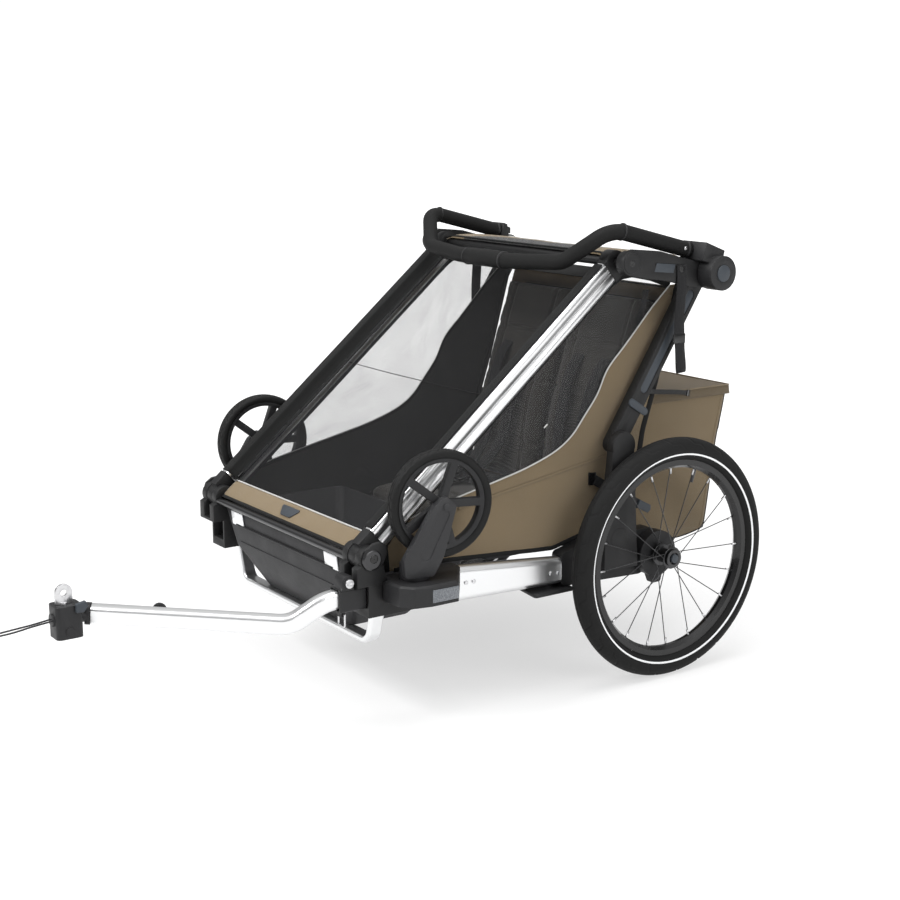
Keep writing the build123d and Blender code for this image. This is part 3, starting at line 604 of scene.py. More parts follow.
def moulded(name, clean, worn, grain=700.0, wear=0.3, low=0.42, high=0.58, relief=0.00012, edge=0.0012, shine=0.3,
             **extra):
    """A moulded plastic or rubber finish."""
    tree, shader, place = finish(name, Specular_IOR_Level=shine, **extra)
    made = grouped(tree, "grain", {"Place": place, "Clean": clean, "Worn": worn, "Grain": grain, "Wear": wear,
                                   "Gloss low": low, "Gloss high": high})
    tree.put(shader.inputs["Base Color"], made.outputs["Color"])
    tree.put(shader.inputs["Roughness"], made.outputs["Roughness"])
    bump(tree, shader, made.outputs["Height"], relief, edge=edge)
    return tree, shader


def metal(name, tone, mark, edge=0.0008, relief=0.00004, **extra):
    """A drawn or plated metal finish."""
    tree, shader, place = finish(name, Metallic=1.0, **extra)
    made = grouped(tree, "drawn", {"Place": place, "Metal": tone, "Mark": mark})
    tree.put(shader.inputs["Base Color"], made.outputs["Color"])
    tree.put(shader.inputs["Roughness"], made.outputs["Roughness"])
    bump(tree, shader, made.outputs["Height"], relief, strength=0.12, edge=edge)
    return tree, shader


def crowned_alloy(alloy):
    """The front tubes' outer faces: two long crowned bands on either side of a groove."""
    tree, shader = metal("front_tube_alloy", alloy, shade_of(alloy, 0.82))
    place = place_of(tree, False)
    rise = tree.node("VectorMath", {0: place, 1: tuple(TUBE_UP)}, operation="DOT_PRODUCT").outputs["Value"]
    lift = tree.math("ABSOLUTE", tree.math("SUBTRACT", rise, TUBE_LOW.dot(TUBE_UP)))
    part = tree.math("SUBTRACT", tree.math("DIVIDE", lift, 0.0125), 1.0)
    height = tree.math("SUBTRACT", 1.0, tree.math("MULTIPLY", part, part))
    crown = tree.node("Bump", {"Height": height, "Distance": 0.0042, "Strength": 1.0})
    tree.put(shader.inputs["Normal"], crown.outputs[0])


def shade_of(tone, factor):
    return tuple(min(1.0, c * factor) for c in tone)


def make_materials():
    """Every finish of the trailer."""
    GROUPS.update(weave=weave_group(), grain=grain_group(), drawn=drawn_group(), net=net_group())
    c = colours()
    tan, dark, lining, shell = tuple(c.tan), tuple(c.dark), tuple(c.lining), tuple(c.shell)
    casting, rubber, slate, alloy = tuple(c.casting), tuple(c.rubber), tuple(c.slate), tuple(c.alloy)
    cloth("tan_cloth", tan, shade_of(tan, 0.78))
    cloth("tan_band_cloth", shade_of(tan, 1.08), shade_of(tan, 0.94), pitch=700.0)
    cloth("lid_cloth", shade_of(tan, 0.62), shade_of(tan, 0.5))
    cloth("dark_cloth", dark, shade_of(dark, 0.6))
    cloth("wall_lining", shade_of(dark, 0.9), shade_of(dark, 0.5), pitch=500.0)
    cloth("seat_cloth", lining, shade_of(lining, 0.55), pitch=420.0, by_uv=False, relief=0.0006)
    cloth("webbing", (0.014, 0.014, 0.015), (0.007, 0.007, 0.008), pitch=480.0, fleck=0.8, relief=0.0008, sheen=0.08)
    cloth("edge_piping", tuple(c.piping), shade_of(tuple(c.piping), 0.8), pitch=600.0, sheen=0.1)
    cloth("cord_braid", (0.020, 0.020, 0.021), (0.045, 0.045, 0.047), pitch=700.0, fleck=0.9, by_uv=False)
    tree, shader, place = finish("cover_net", True, Base_Color=(0.020, 0.020, 0.021), Roughness=0.8)
    net = grouped(tree, "net", {"Place": place, "Pitch": 330.0, "Open": 0.03, "Closed": 0.30})
    tree.put(shader.inputs["Alpha"], net.outputs["Alpha"])
    bump(tree, shader, net.outputs["Height"], 0.0003)
    tree, shader, place = finish("window_film", True, Base_Color=(0.055, 0.055, 0.056), Roughness=0.32,
                                 Coat_Weight=0.15, Coat_Roughness=0.2)
    haze = tree.node("TexNoise", {"Vector": place, "Scale": 11.0, "Detail": 4.0}).outputs["Fac"]
    tree.put(shader.inputs["Alpha"], tree.spread(haze, 0.3, 0.7, 0.14, 0.20))
    bump(tree, shader, haze, 0.0012, 0.4)
    moulded("black_shell", shell, shade_of(shell, 1.5))
    moulded("foot_shell", shade_of(shell, 1.35), shade_of(shell, 1.8), grain=420.0, relief=0.0003, low=0.5, high=0.64)
    moulded("black_casting", casting, shade_of(casting, 1.7), grain=520.0)
    moulded("gloss_black", shade_of(casting, 0.7), casting, low=0.2, high=0.34, Coat_Weight=0.3)
    moulded("slate_plastic", slate, shade_of(slate, 1.25), low=0.34, high=0.48)
    moulded("foam_grip", shade_of(rubber, 0.9), shade_of(rubber, 1.5), grain=900.0, low=0.6, high=0.74,
            relief=0.0003, shine=0.16)
    moulded("tyre_rubber", shade_of(rubber, 0.8), shade_of(rubber, 1.7), grain=800.0, wear=0.45, shine=0.18,
            low=0.6, high=0.76, edge=0.0)
    moulded("caster_rubber", shade_of(rubber, 0.7), shade_of(rubber, 1.5), wear=0.4, shine=0.2, low=0.5,
            high=0.66, edge=0.0)
    moulded("reflex_stripe", (0.82, 0.83, 0.84), (0.7, 0.7, 0.7), wear=0.2, low=0.28, high=0.4, edge=0.0)
    moulded("grey_tag", (0.6, 0.6, 0.58), (0.5, 0.5, 0.48), edge=0.0)
    metal("alloy_tube", alloy, shade_of(alloy, 0.82))
    crowned_alloy(alloy)
    metal("zinc_steel", (0.62, 0.62, 0.63), (0.42, 0.42, 0.42))
    metal("black_steel", (0.06, 0.06, 0.062), (0.2, 0.2, 0.2), Coat_Weight=0.2)
    cloth("dark_tape", (0.008, 0.008, 0.008), (0.004, 0.004, 0.004), pitch=700.0, fleck=0.7, sheen=0.04)
    cloth("tan_thread", shade_of(tan, 0.6), shade_of(tan, 0.45), pitch=900.0)
    moulded("slate_shell", shade_of(shell, 1.6), shade_of(shell, 2.2), low=0.36, high=0.5)
    moulded("light_plastic", (0.78, 0.78, 0.77), (0.6, 0.6, 0.6), low=0.3, high=0.42)
    make_lens_material()
    # Studio floor: its colour at 0.46 of the floor setting, with a glow that is painted light. The emission is 0.58
    # near the trailer and rises to 1.0 between 1.4 m and 4.5 m out. It lightens the floor's shadows and evens its
    # brightness out to the horizon.
    tree, shader, place = finish("studio_floor", Base_Color=shade_of(tuple(c.floor), 0.46), Roughness=0.7,
                                 Specular_IOR_Level=0.1)
    far = tree.node("VectorMath", {0: place}, operation="LENGTH").outputs["Value"]
    tree.put(shader.inputs["Emission Color"], (1.0, 1.0, 1.0, 1.0))
    tree.put(shader.inputs["Emission Strength"], tree.spread(far, 1.4, 4.5, 0.58, 1.0))


def make_lens_material():
    """Ribbed reflector lenses: slate at the sides, clear in front and red behind."""
    tree, shader, place = finish("reflector_lens", Coat_Weight=0.8, Coat_Roughness=0.08, Roughness=0.18)
    xyz = tree.node("SeparateXYZ", {0: place}).outputs
    front = tree.math("LESS_THAN", xyz[1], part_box("foot_tub")[0].y + 0.03)
    rear = tree.math("GREATER_THAN", xyz[1], AXLE.y)
    tone = tree.blend(front, (0.045, 0.055, 0.070, 1.0), (0.86, 0.87, 0.88, 1.0))
    tone = tree.blend(rear, tone, (0.32, 0.012, 0.016, 1.0))
    cells = tree.node("TexVoronoi", {"Vector": place, "Scale": 420.0}).outputs["Distance"]
    tree.put(shader.inputs["Base Color"], tree.blend(tree.math("MULTIPLY", cells, 0.12), tone, (1.0, 1.0, 1.0, 1.0)))
    bump(tree, shader, cells, 0.0003, 0.4)


# ---- operators -------------------------------------------------------------------------------------
def mat(name):
    return MATERIALS[name]


def node(name):
    return bpy.data.objects[name]


FINISHES = {
    "silver_aluminium": "alloy_tube", "black_metal": "black_steel", "black_casting": "black_casting",
    "black_plastic": "black_shell", "grey_plastic": "slate_plastic", "reflector": "reflector_lens",
    "foam_rubber": "foam_grip", "tyre_rubber": "tyre_rubber", "spoke_steel": "zinc_steel", "steel": "zinc_steel",
    "tan_fabric": "tan_cloth", "dark_fabric": "dark_cloth", "mesh_fabric": "cover_net",
    "window_film": "window_film", "black_webbing": "webbing",
}
REPAINTED = {
    "foot_shell": ["foot_tub"],
    "slate_plastic": ["left_bar_button", "right_bar_button", "left_axle_button", "right_axle_button",
                      "upright_trims"],
    "slate_shell": ["left_fork", "right_fork"], "front_tube_alloy": ["front_tubes"],
    "black_steel": ["left_spokes", "right_spokes"], "gloss_black": ["left_rim", "right_rim"],
}
EDGES = {
    "front_brackets": 2.2, "front_knuckles": 2.2, "rear_brackets": 1.8, "rear_feet": 2.4, "caster_pods": 2.5,
    "top_joints": 2.6, "uprights": 1.2, "upright_trims": 0.8, "bar_hubs": 2.2, "left_bar_button": 1.2,
    "right_bar_button": 1.2, "left_fork": 1.6, "right_fork": 1.6, "left_caster_rim": 1.0, "right_caster_rim": 1.0,
    "brake_pedal": 1.6, "hitch_receiver": 2.0, "hitch_arm": 1.6, "hitch_fittings": 0.8, "hitch_thumbwheel": 0.8,
    "hitch_head": 2.2, "hitch_lever": 1.0, "hitch_knob": 1.0, "hitch_eye": 0.7, "leash_slider": 0.8,
    "front_tubes": 0.6, "reflectors": 1.0, "rear_reflectors": 1.0, "left_hub": 0.6, "right_hub": 0.6,
    "left_axle_button": 0.6, "right_axle_button": 0.6, "foot_tub": 1.2, "centre_grip": 1.0,
}


def show_frame_parts(context):
    """Finishes the CAD pieces that stay: their materials and rounded edges."""
    for name in NODES:
        obj = bpy.data.objects.get(name)
        if obj is None or obj.type != "MESH":
            continue
        for k, old in enumerate(list(obj.data.materials)):
            obj.data.materials[k] = mat(FINISHES.get(old.name.split(".")[0], "black_shell"))
    for made, names in REPAINTED.items():
        for name in names:
            node(name).data.materials[0] = mat(made)
    for name, width in EDGES.items():
        obj = node(name)
        weld = obj.modifiers.new("weld", "WELD")
        weld.merge_threshold = 0.00002
        flat = obj.modifiers.new("flat", "DECIMATE")
        flat.decimate_type = "DISSOLVE"
        flat.angle_limit = math.radians(1.0)
        soften(obj, width * MM, angle=35.0, segments=2)


TREAD = [(0.08, 0.10), (0.24, 0.34), (0.60, 0.36), (0.80, 0.58)]
TREAD_BLOCKS = 26
TREAD_ROUND = 1571.0        # round the tyre, in millimetres
TREAD_REACH = 52.0
GROOVE_HALF = 1.7
SPOKES = 20
PAD_FRAMES = 14


def from_line(px, py, a, b):
    """Distance of a point from a straight piece of a line."""
    ax, ay, bx, by = *a, *b
    t = max(0.0, min(1.0, ((px - ax) * (bx - ax) + (py - ay) * (by - ay)) / ((bx - ax) ** 2 + (by - ay) ** 2)))
    return math.hypot(px - ax - t * (bx - ax), py - ay - t * (by - ay))


def groove(turn, share, count, depth):
    """Angular grooves of a road tyre, staggered from side to side, in millimetres on the rubber."""
    across = share * 2.0 - 1.0
    if abs(across) > 0.66:
        return 0.0
    if abs(across) < 0.035:
        return -depth * 0.7
    pitch, reach = TREAD_ROUND / count, TREAD_REACH
    row = (turn * count + (0.5 if across > 0 else 0.0)) % 1.0
    line = [(x * pitch, y * reach) for x, y in TREAD]
    near = min(from_line(row * pitch, abs(across) * reach, a, b) for a, b in zip(line, line[1:]))
    return -depth if near < GROOVE_HALF else 0.0


def add_road_tyres(context):
    """Grooved road tyres with their reflective side bands, and the valves."""
    s = sizes()
    low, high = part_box("left_tyre")
    radius, half, middle = (high.z - low.z) / 2, (high.x - low.x) / 2, (high.x + low.x) / 2
    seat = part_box("left_rim")
    bead = (seat[1].z - seat[0].z) / 2
    body = radius - half
    start = math.acos((bead + 0.0006 - body) / half)
    count = 64
    section = [(body + half * math.cos(a), half * math.sin(a)) for a in
               [-start + 2 * start * k / (count - 1) for k in range(count)]]
    section += [(bead + 0.0006, half * 0.5), (bead + 0.0006, -half * 0.5)]
    total = len(section)

    def dent(turn, share):
        k = share * (total - 1)
        if k > count - 1:
            return 0.0, 0.0
        return groove(turn, k / (count - 1), TREAD_BLOCKS, s.tread_depth), 0.0

    def pick(turn, share):
        k = share * (total - 1)
        if k >= count - 1:
            return 0
        r = body + half * math.cos(-start + 2 * start * (k + 0.5) / (count - 1))
        return 1 if abs(r - (bead + 0.0125)) < 0.0015 else 0
    tyre = spun("tyre", section, (middle, AXLE.y, AXLE.z), (1, 0, 0), s.tread_steps,
                [mat("tyre_rubber"), mat("reflex_stripe")], pick, dent)
    left, right = pair(tyre, "road_tyre")
    stem_at = Vector((middle, AXLE.y, AXLE.z)) + Vector((0, math.sin(0.35), math.cos(0.35))) * (bead - 0.046)
    valve = disc("valve", stem_at, (0, math.sin(0.35), math.cos(0.35)), 0.0034, 0.034, mat("black_steel"), steps=16)
    valves = pair(valve, "valve")
    for side, one, stem in (("left", left, valves[0]), ("right", right, valves[1])):
        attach(one, side + "_wheel")
        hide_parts(side + "_tyre")
        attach(stem, side + "_wheel")
        nipples = []
        for k in range(SPOKES):
            a = math.tau * k / SPOKES
            out = Vector((0, math.sin(a), math.cos(a)))
            x = (middle if side == "left" else -middle) + (0.003 if (k % 2) == (side == "left") else -0.003)
            root = Vector((x, AXLE.y, AXLE.z)) + out * (bead - 0.031)
            nipples.append(disc("nipple", root, out, 0.0021, 0.012, mat("zinc_steel"), steps=10))
        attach(joined(side + "_nipples", nipples), side + "_wheel")


def add_caster_tyres(context):
    """Grooved rubber tyres of the stowed stroller wheels."""
    for side in ("left", "right"):
        joint = JOINTS[side + "_caster_spin"]
        centre, axis = Vector(joint["pos_m"]), Vector(joint["axis"]).normalized()
        radius = (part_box(side + "_caster_tyre")[1].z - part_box(side + "_caster_tyre")[0].z) / 2
        verts = np.array([tuple(node(side + "_caster_tyre").matrix_world @ v.co)
                          for v in node(side + "_caster_tyre").data.vertices])
        along = (verts - np.array(centre)) @ np.array(axis)
        low, high = float(along.min()), float(along.max())
        middle, half = (low + high) / 2, (high - low) / 2
        outline = [(radius - 0.0160, -half + 0.003), (radius - 0.011, -half + 0.0008), (radius - 0.005, -half),
                   (radius - 0.0014, -half + 0.0026)]
        crown = 22
        outline += [(radius - 0.0010 * (2 * k / crown - 1) ** 2, (-half + 0.004) + (2 * half - 0.008) * k / crown)
                    for k in range(crown + 1)]
        outline += [(radius - 0.0014, half - 0.0026), (radius - 0.005, half), (radius - 0.011, half - 0.0008),
                    (radius - 0.0160, half - 0.003)]
        section = [(r, x + middle) for r, x in outline]
        total = len(section)

        def dent(turn, share):
            k = share * (total - 1) - 4
            if not 0 <= k <= crown:
                return 0.0, 0.0
            across = 2 * k / crown - 1
            row = turn * 34
            zig = abs((row + abs(across) * 0.5) % 1.0 - 0.5) * 2
            return (-0.0016 if abs(abs(across) - 0.42) < 0.06 or zig > 0.86 else 0.0), 0.0
        tyre = spun(side + "_stroller_tyre", section, centre, axis, 306, mat("caster_rubber"), None, dent)
        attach(tyre, side + "_caster_wheel")
        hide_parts(side + "_caster_tyre")
        face = centre + axis * (middle + (half if axis.x * centre.x > 0 else -half))
        out = axis if axis.x * centre.x > 0 else -axis
        bolt = disc(side + "_caster_cap", face + out * 0.0012, out, 0.0120, 0.0030, mat("slate_plastic"), steps=32)
        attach(bolt, side + "_caster_wheel")


def add_cover(context):
    """Mesh front cover with its zips, tan lower band, piping, blank badge and zip pulls."""
    s = sizes()
    zip_w = 0.026

    def skin(u, v):
        x = -COVER_HALF + 2 * COVER_HALF * u
        lift = 4.6 - s.cover_sag / MM * swell(u) ** 0.7 * swell(v) ** 0.5
        point = on_tube(0.0005 + 1.0105 * v, lift, x)
        return point + TUBE_UP * ripple(point, 0.16) * 0.0016 * swell(u) * swell(v) ** 0.5
    cover = sheet("mesh_cover", skin, (60, 64), mat("cover_net"), thickness=0.0008)
    frozen(cover)
    strips = []
    for sign in (-1, 1):
        x0 = sign * (COVER_HALF - zip_w / 2)
        line = [on_tube(0.0005 + 1.010 * k / 60, 4.9, x0) for k in range(61)]
        strips.append(swept("tape", line, band(zip_w, 0.0015), mat("dark_tape"), across=(1, 0, 0)))
        coil = [p + TUBE_UP * 0.0012 + Vector((-sign * 0.004, 0, 0)) for p in line]
        strips.append(swept("coil", coil, band(0.0055, 0.0022), mat("gloss_black"), across=(1, 0, 0)))
        inner = [p + TUBE_UP * 0.0010 + Vector((-sign * zip_w * 0.5, 0, 0)) for p in line]
        strips.append(swept("seam", inner, circle(0.0014, 8), mat("dark_tape")))
        wrap = [(COVER_HALF + 0.0230, 25.4), (COVER_HALF + 0.0175, 26.1), (COVER_HALF + 0.006, 26.2),
                (COVER_HALF - 0.0012, 25.0), (COVER_HALF - 0.006, 15.0), (COVER_HALF - 0.012, 7.0),
                (COVER_HALF - zip_w, 5.0)]
        strips.append(sheet("wrap", lambda u, v, sign=sign: on_tube(0.004 + 0.992 * v, between(wrap, u)[1],
                                                                    sign * between(wrap, u)[0]),
                            (24, 60), mat("dark_tape"), thickness=0.0009))
    head = [on_tube(0.988, 5.0, -COVER_HALF + 2 * COVER_HALF * k / 40) for k in range(41)]
    strips.append(swept("head_tape", head, band(0.030, 0.0016), mat("dark_tape"), across=tuple(TUBE_RUN)))
    fold = [skin(0.05 + 0.90 * k / 40, 0.50) + TUBE_UP * 0.0008 for k in range(41)]
    strips.append(swept("fold", fold, circle(0.0009, 6), mat("dark_tape")))
    trims = joined("cover_trims", strips)

    def hem(u, v):
        x = -BAND_HALF + 2 * BAND_HALF * u
        belly = 3.2 * swell(v) ** 0.6
        point = on_tube(-0.060 + 0.0605 * v, 2.6 + belly, x)
        wave = ripple(point, 0.07, 3.0) * 0.0014 + math.sin(u * 61.0 + ripple(point, 0.2) * 2) * 0.0003
        return point + TUBE_UP * wave * swell(v)
    lower = sheet("front_band", hem, (120, 14), mat("tan_band_cloth"), mat("dark_cloth"))
    edge = [on_tube(0.0015, 4.2, -BAND_HALF + 2 * BAND_HALF * k / 60) for k in range(61)]
    bind = swept("band_piping", edge, circle(s.piping, 10), mat("edge_piping"))
    foot = [on_tube(-0.0605, 3.4, -BAND_HALF + 2 * BAND_HALF * k / 60) for k in range(61)]
    stitch = swept("band_binding", foot, band(0.007, 0.0026), mat("dark_tape"), across=tuple(TUBE_RUN))
    trim_band = joined("band_trims", [bind, stitch])
    middle = on_tube(-0.030, 6.6, 0.0)
    badge = plate("blank_badge", [(-31, 11), (-33, 7), (-21, -9), (-17, -12), (17, -12), (21, -9), (33, 7),
                                  (31, 11)], 1.9, middle, (1, 0, 0), TUBE_RUN, mat("slate_plastic"), 0.8)
    pulls = []
    for sign in (-1, 1):
        x0 = sign * (COVER_HALF - 0.020)
        top = on_tube(0.020, 7.0, x0)
        line = [top, top + Vector((0, -0.006, -0.012)), top + Vector((sign * 0.001, -0.0095, -0.026)),
                top + Vector((sign * 0.002, -0.010, -0.042))]
        pulls.append(swept("pull", curved(line, 5), band(0.007, 0.0022), mat("webbing"), across=(1, 0, 0)))
        head_at = top + TUBE_UP * 0.001
        pulls.append(plate("slider", [(-6, 8), (-4, -8), (4, -8), (6, 8)], 3.0, head_at, (1, 0, 0), TUBE_RUN,
                           mat("gloss_black"), 1.0))
    tabs = joined("zip_pulls", pulls)
    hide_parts("front_cover")
    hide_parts("cover_band")
    frozen(lower)
    frozen(badge)
    for obj in (cover, trims, lower, trim_band, badge, tabs):
        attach(obj, "front_frame")


WALL_TOP = [(-636, 354), (-592, 394), (-480, 422), (-357, 448), (-295, 463), (-232, 485), (-190, 512),
            (-158, 549), (-126, 589), (-100, 638), (-57, 681), (-18, 721), (15, 755), (62, 797)]
WALL_FOOT = [(-634, 303.5), (-560, 303.3), (-490, 303), (-350, 293), (-290, 288), (-236, 284.5),
             (-150, 303.5), (-92, 304.5), (-34, 305), (-18, 402), (-2, 500), (30, 598), (52, 680), (84, 798)]


def wall_line(points, steps=6):
    """A side wall's edge as an evenly divided line, its corners kept."""
    line = []
    for (y0, z0), (y1, z1) in zip(points, points[1:]):
        line += [(y0 + (y1 - y0) * k / steps, z0 + (z1 - z0) * k / steps) for k in range(steps)]
    return line + [points[-1]]


def soft_line(points, steps=6):
    """The same for an edge without corners."""
    return [(p.y, p.z) for p in curved([Vector((0, y, z)) for y, z in points], steps)]


def between(line, share):
    k = min(len(line) - 2, int(share * (len(line) - 1)))
    t = share * (len(line) - 1) - k
    return tuple(a + (b - a) * t for a, b in zip(line[k], line[k + 1]))


def wall_point(u, v, lift=0.0):
    """A point on the left side wall, from its foot to its piped edge."""
    top, foot = soft_line(WALL_TOP), wall_line(WALL_FOOT)
    (ya, za), (yb, zb) = between(foot, u), between(top, u)
    y, z = ya + (yb - ya) * v, za + (zb - za) * v
    span = math.hypot(yb - ya, zb - za)
    belly = sizes().wall_bulge / MM * swell(v) ** 0.6 * min(1.0, span / 130.0) * min(1.0, u * 6)
    drag = 1.5 * math.sin((y * 0.7 + z) * 0.035 + 2.0 * ripple(at(0, y, z), 0.25)) * swell(v)
    wave = 2.2 * ripple(at(0, y, z), 0.09, 5.0) * swell(v) * min(1.0, span / 130.0)
    return at(CLOTH_X / MM - 1.5 + 0.6 * (belly + drag + wave) + lift, y, z)


def add_side_walls(context):
    """Tan side walls with dark lining, their piping, seams, black binding, and strap tabs."""
    wall = sheet("side_wall", lambda u, v: wall_point(u, v), (144, 40), mat("tan_cloth"), mat("wall_lining"))
    line = [wall_point(k / 90, 1.0, 1.2) for k in range(8, 91)]
    trims = [swept("piping", line, circle(sizes().piping, 10), mat("edge_piping"))]
    skin_points = [v.co for v in wall.data.vertices]

    def on_wall(y, z, lift):
        spot = at(0, y, z)
        near = min(skin_points, key=lambda p: (p.y - spot.y) ** 2 + (p.z - spot.z) ** 2)
        return Vector((near.x + lift * MM, spot.y, spot.z))
    for off, width, high, made in ((0.0, 0.005, 0.0010, "tan_cloth"), (2.6, 0.0010, 0.0007, "tan_thread"),
                                   (-2.6, 0.0010, 0.0007, "tan_thread")):
        seam = [on_wall(-470 + 373 * k / 60, 402.5 + 59.5 * k / 60 + off, 1.1) for k in range(61)]
        trims.append(swept("seam", seam, band(width, high), mat(made), across=(0, -0.16, 1)))
    trims.append(plate("strap_anchor", [(-10, -13), (-10, 13), (10, 13), (10, -13)], 2.4, on_wall(-138, 417, 1.0),
                       (0, 1, -0.12), (0, 0, 1), mat("gloss_black"), 0.8))
    down = curved([on_wall(-132, 414, 3.0), on_wall(-105, 398, 4.5), at(294, -50, 366), at(293, -14, 347)], 6)
    trims.append(swept("strap", down, band(0.020, 0.0018), mat("webbing"), across=(0, 0.5, 1)))
    trims.append(plate("strap_end", [(-36, -9), (-36, 9), (34, 9), (38, 0), (34, -9)], 2.6, at(291.5, -14, 348),
                       (0, 1, -0.52), (0, 0.5, 1), mat("slate_plastic"), 0.9))
    rear = [wall_point(0.56 + 0.44 * k / 60, 0.02, 0.9) for k in range(61)]
    trims.append(swept("rear_binding", rear, band(0.014, 0.0022), mat("dark_tape"), across=(0, 1, 0.2)))
    foot = [wall_point(0.02 + 0.54 * k / 60, 0.012, 0.7) for k in range(61)]
    trims.append(swept("foot_binding", foot, band(0.009, 0.0020), mat("dark_tape"), across=(0, 0, 1)))
    front = [wall_point(0.004, k / 12, 0.8) for k in range(13)]
    front += [wall_point(0.083 * k / 10, 0.985, 0.8) for k in range(1, 11)]
    trims.append(swept("front_binding", front, band(0.011, 0.0022), mat("dark_tape"), across=(0, 0.64, -0.77)))
    extra = joined("side_trims", trims)
    walls, trims_of = pair(wall, "side_wall"), pair(extra, "side_trims")
    for one, trim in zip(walls, trims_of):
        crumple(one)
        crumple(trim)
    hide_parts("side_panels")


WINDOW_TOP = [(-592, 395), (-531, 446), (-440, 521), (-380, 571), (-320, 622), (-250, 680.6), (-180, 739), (-130, 781),
              (-95, 809), (-70, 823), (-40, 826), (10, 816), (40, 806), (62, 797)]


def add_side_windows(context):
    """Smoked side windows with their wrinkles, binding, and the strap that hangs behind them."""
    foot = soft_line(WALL_TOP[1:])
    top = wall_line(WINDOW_TOP)

    def pane(u, v):
        (ya, za), (yb, zb) = between(foot, u), between(top, u)
        y, z = ya + (yb - ya) * v, za + (zb - za) * v
        inside = swell(u) ** 0.5 * swell(v)
        sway = 3.6 * ripple(at(0, y, z), 0.13, 9.0) + 1.4 * math.sin(y * 0.045 - z * 0.03)
        return at(CLOTH_X / MM - 3.0 - 1.6 * inside + sway * inside * 0.6, y, z)
    film = sheet("window", pane, (90, 40), mat("window_film"), thickness=0.0005)
    upper = [at(CLOTH_X / MM - 1.6, *between(top, k / 80)) for k in range(81)]
    lower = [at(CLOTH_X / MM - 2.2, *between(foot, k / 80)) + Vector((0, 0, -0.003)) for k in range(81)]
    drop = [(4, 790, 279), (2, 760, 274), (-6, 730, 272), (-2, 712, 274)]
    strap = swept("window_strap", curved([at(x, y, z) for y, z, x in drop], 8), band(0.016, 0.0018), mat("webbing"),
                  across=(0, 1, 0.2))
    crumple(strap)
    trim = joined("window_trims", [swept("binding", upper, band(0.015, 0.0020), mat("dark_tape"), across=(0, 0.5, 1)),
                                   swept("hem", lower, band(0.006, 0.0016), mat("dark_tape"), across=(0, 0, 1))])
    tag = plate("window_tag", [(-5, -1.3), (-5, 1.3), (5, 1.3), (5, -1.3)], 0.8, at(286.4, -257, 539), (0, 1, 0.75),
                (0, -0.75, 1), mat("grey_tag"))
    crumple(tag)
    panes, trims = pair(film, "window"), pair(trim, "window_trims")
    for one, trim in zip(panes, trims):
        crumple(one)
        crumple(trim)
    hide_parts("side_windows")


def add_roof(context):
    """Roof cloth over the top tubes, with its tan corners and rear panel."""
    profile = [(-104, 866), (-88, 871.5), (-40, 872.3), (20, 867), (92, 856.5), (106, 851), (118, 842)]
    line = curved([Vector((0, y, z)) for y, z in profile], 5)

    def skin(u, v):
        p = at_share(line, v)
        x = (-1 + 2 * u) * (COVER_HALF / MM - 1.2)
        sag = -5.0 * swell(u) ** 0.6 * swell(v) - 5.0 * max(0.0, abs(2 * u - 1) - 0.93) / 0.07
        point = at(x, p.y, p.z + sag)
        return point + Vector((0, 0, 0.0016 * ripple(point, 0.08, 2.0) * swell(v)))

    def pick(u, v):
        x = abs(-1 + 2 * u) * COVER_HALF / MM
        y = -104 + 222 * v
        edge = 208 - 0.75 * max(0.0, y + 92)
        return 1 if y > 34 or x > edge else 0
    roof = sheet("roof_cloth", skin, (92, 44), [mat("dark_cloth"), mat("tan_cloth")], thickness=0.0014, pick=pick)
    frozen(roof)

    def side_to_side(v, lift):
        return [skin(0.01 + 0.98 * k / 50, v) + Vector((0, 0, lift)) for k in range(51)]
    seams = [swept("seam", side_to_side(0.735, 0.0012), circle(0.0013, 8), mat("edge_piping"))]
    for name, v, across in (("lead", 0.035, (0, 1, 0)), ("rear", 0.965, (0, 1, -0.5))):
        seams.append(swept(name, side_to_side(v, 0.0010), band(0.012, 0.0018), mat("dark_tape"), across=across))
    under = soft_line([(-100, 806), (-70, 821), (-40, 824), (10, 815), (40, 806), (84, 800)])
    over = [at_share(line, k / 30 * 0.94) for k in range(31)]

    def valance(u, v):
        y, z = between(under, u)
        top = over[min(30, int(u * 30))].lerp(over[min(30, int(u * 30) + 1)], u * 30 - int(u * 30))
        low, high = at(282.6, y, z), at(COVER_HALF / MM - 1.0, top.y, top.z - 5.5)
        return low.lerp(high, v) + Vector((0.002 * swell(v), 0, 0))
    flap = sheet("valance", valance, (40, 8), mat("dark_cloth"), thickness=0.001)
    seams += [flap, twin(flap, "valance_twin")]
    trims = joined("roof_trims", seams)
    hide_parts("roof_panel")
    for obj in (roof, trims):
        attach(obj, "top_frame")
    run_length(line) * MM


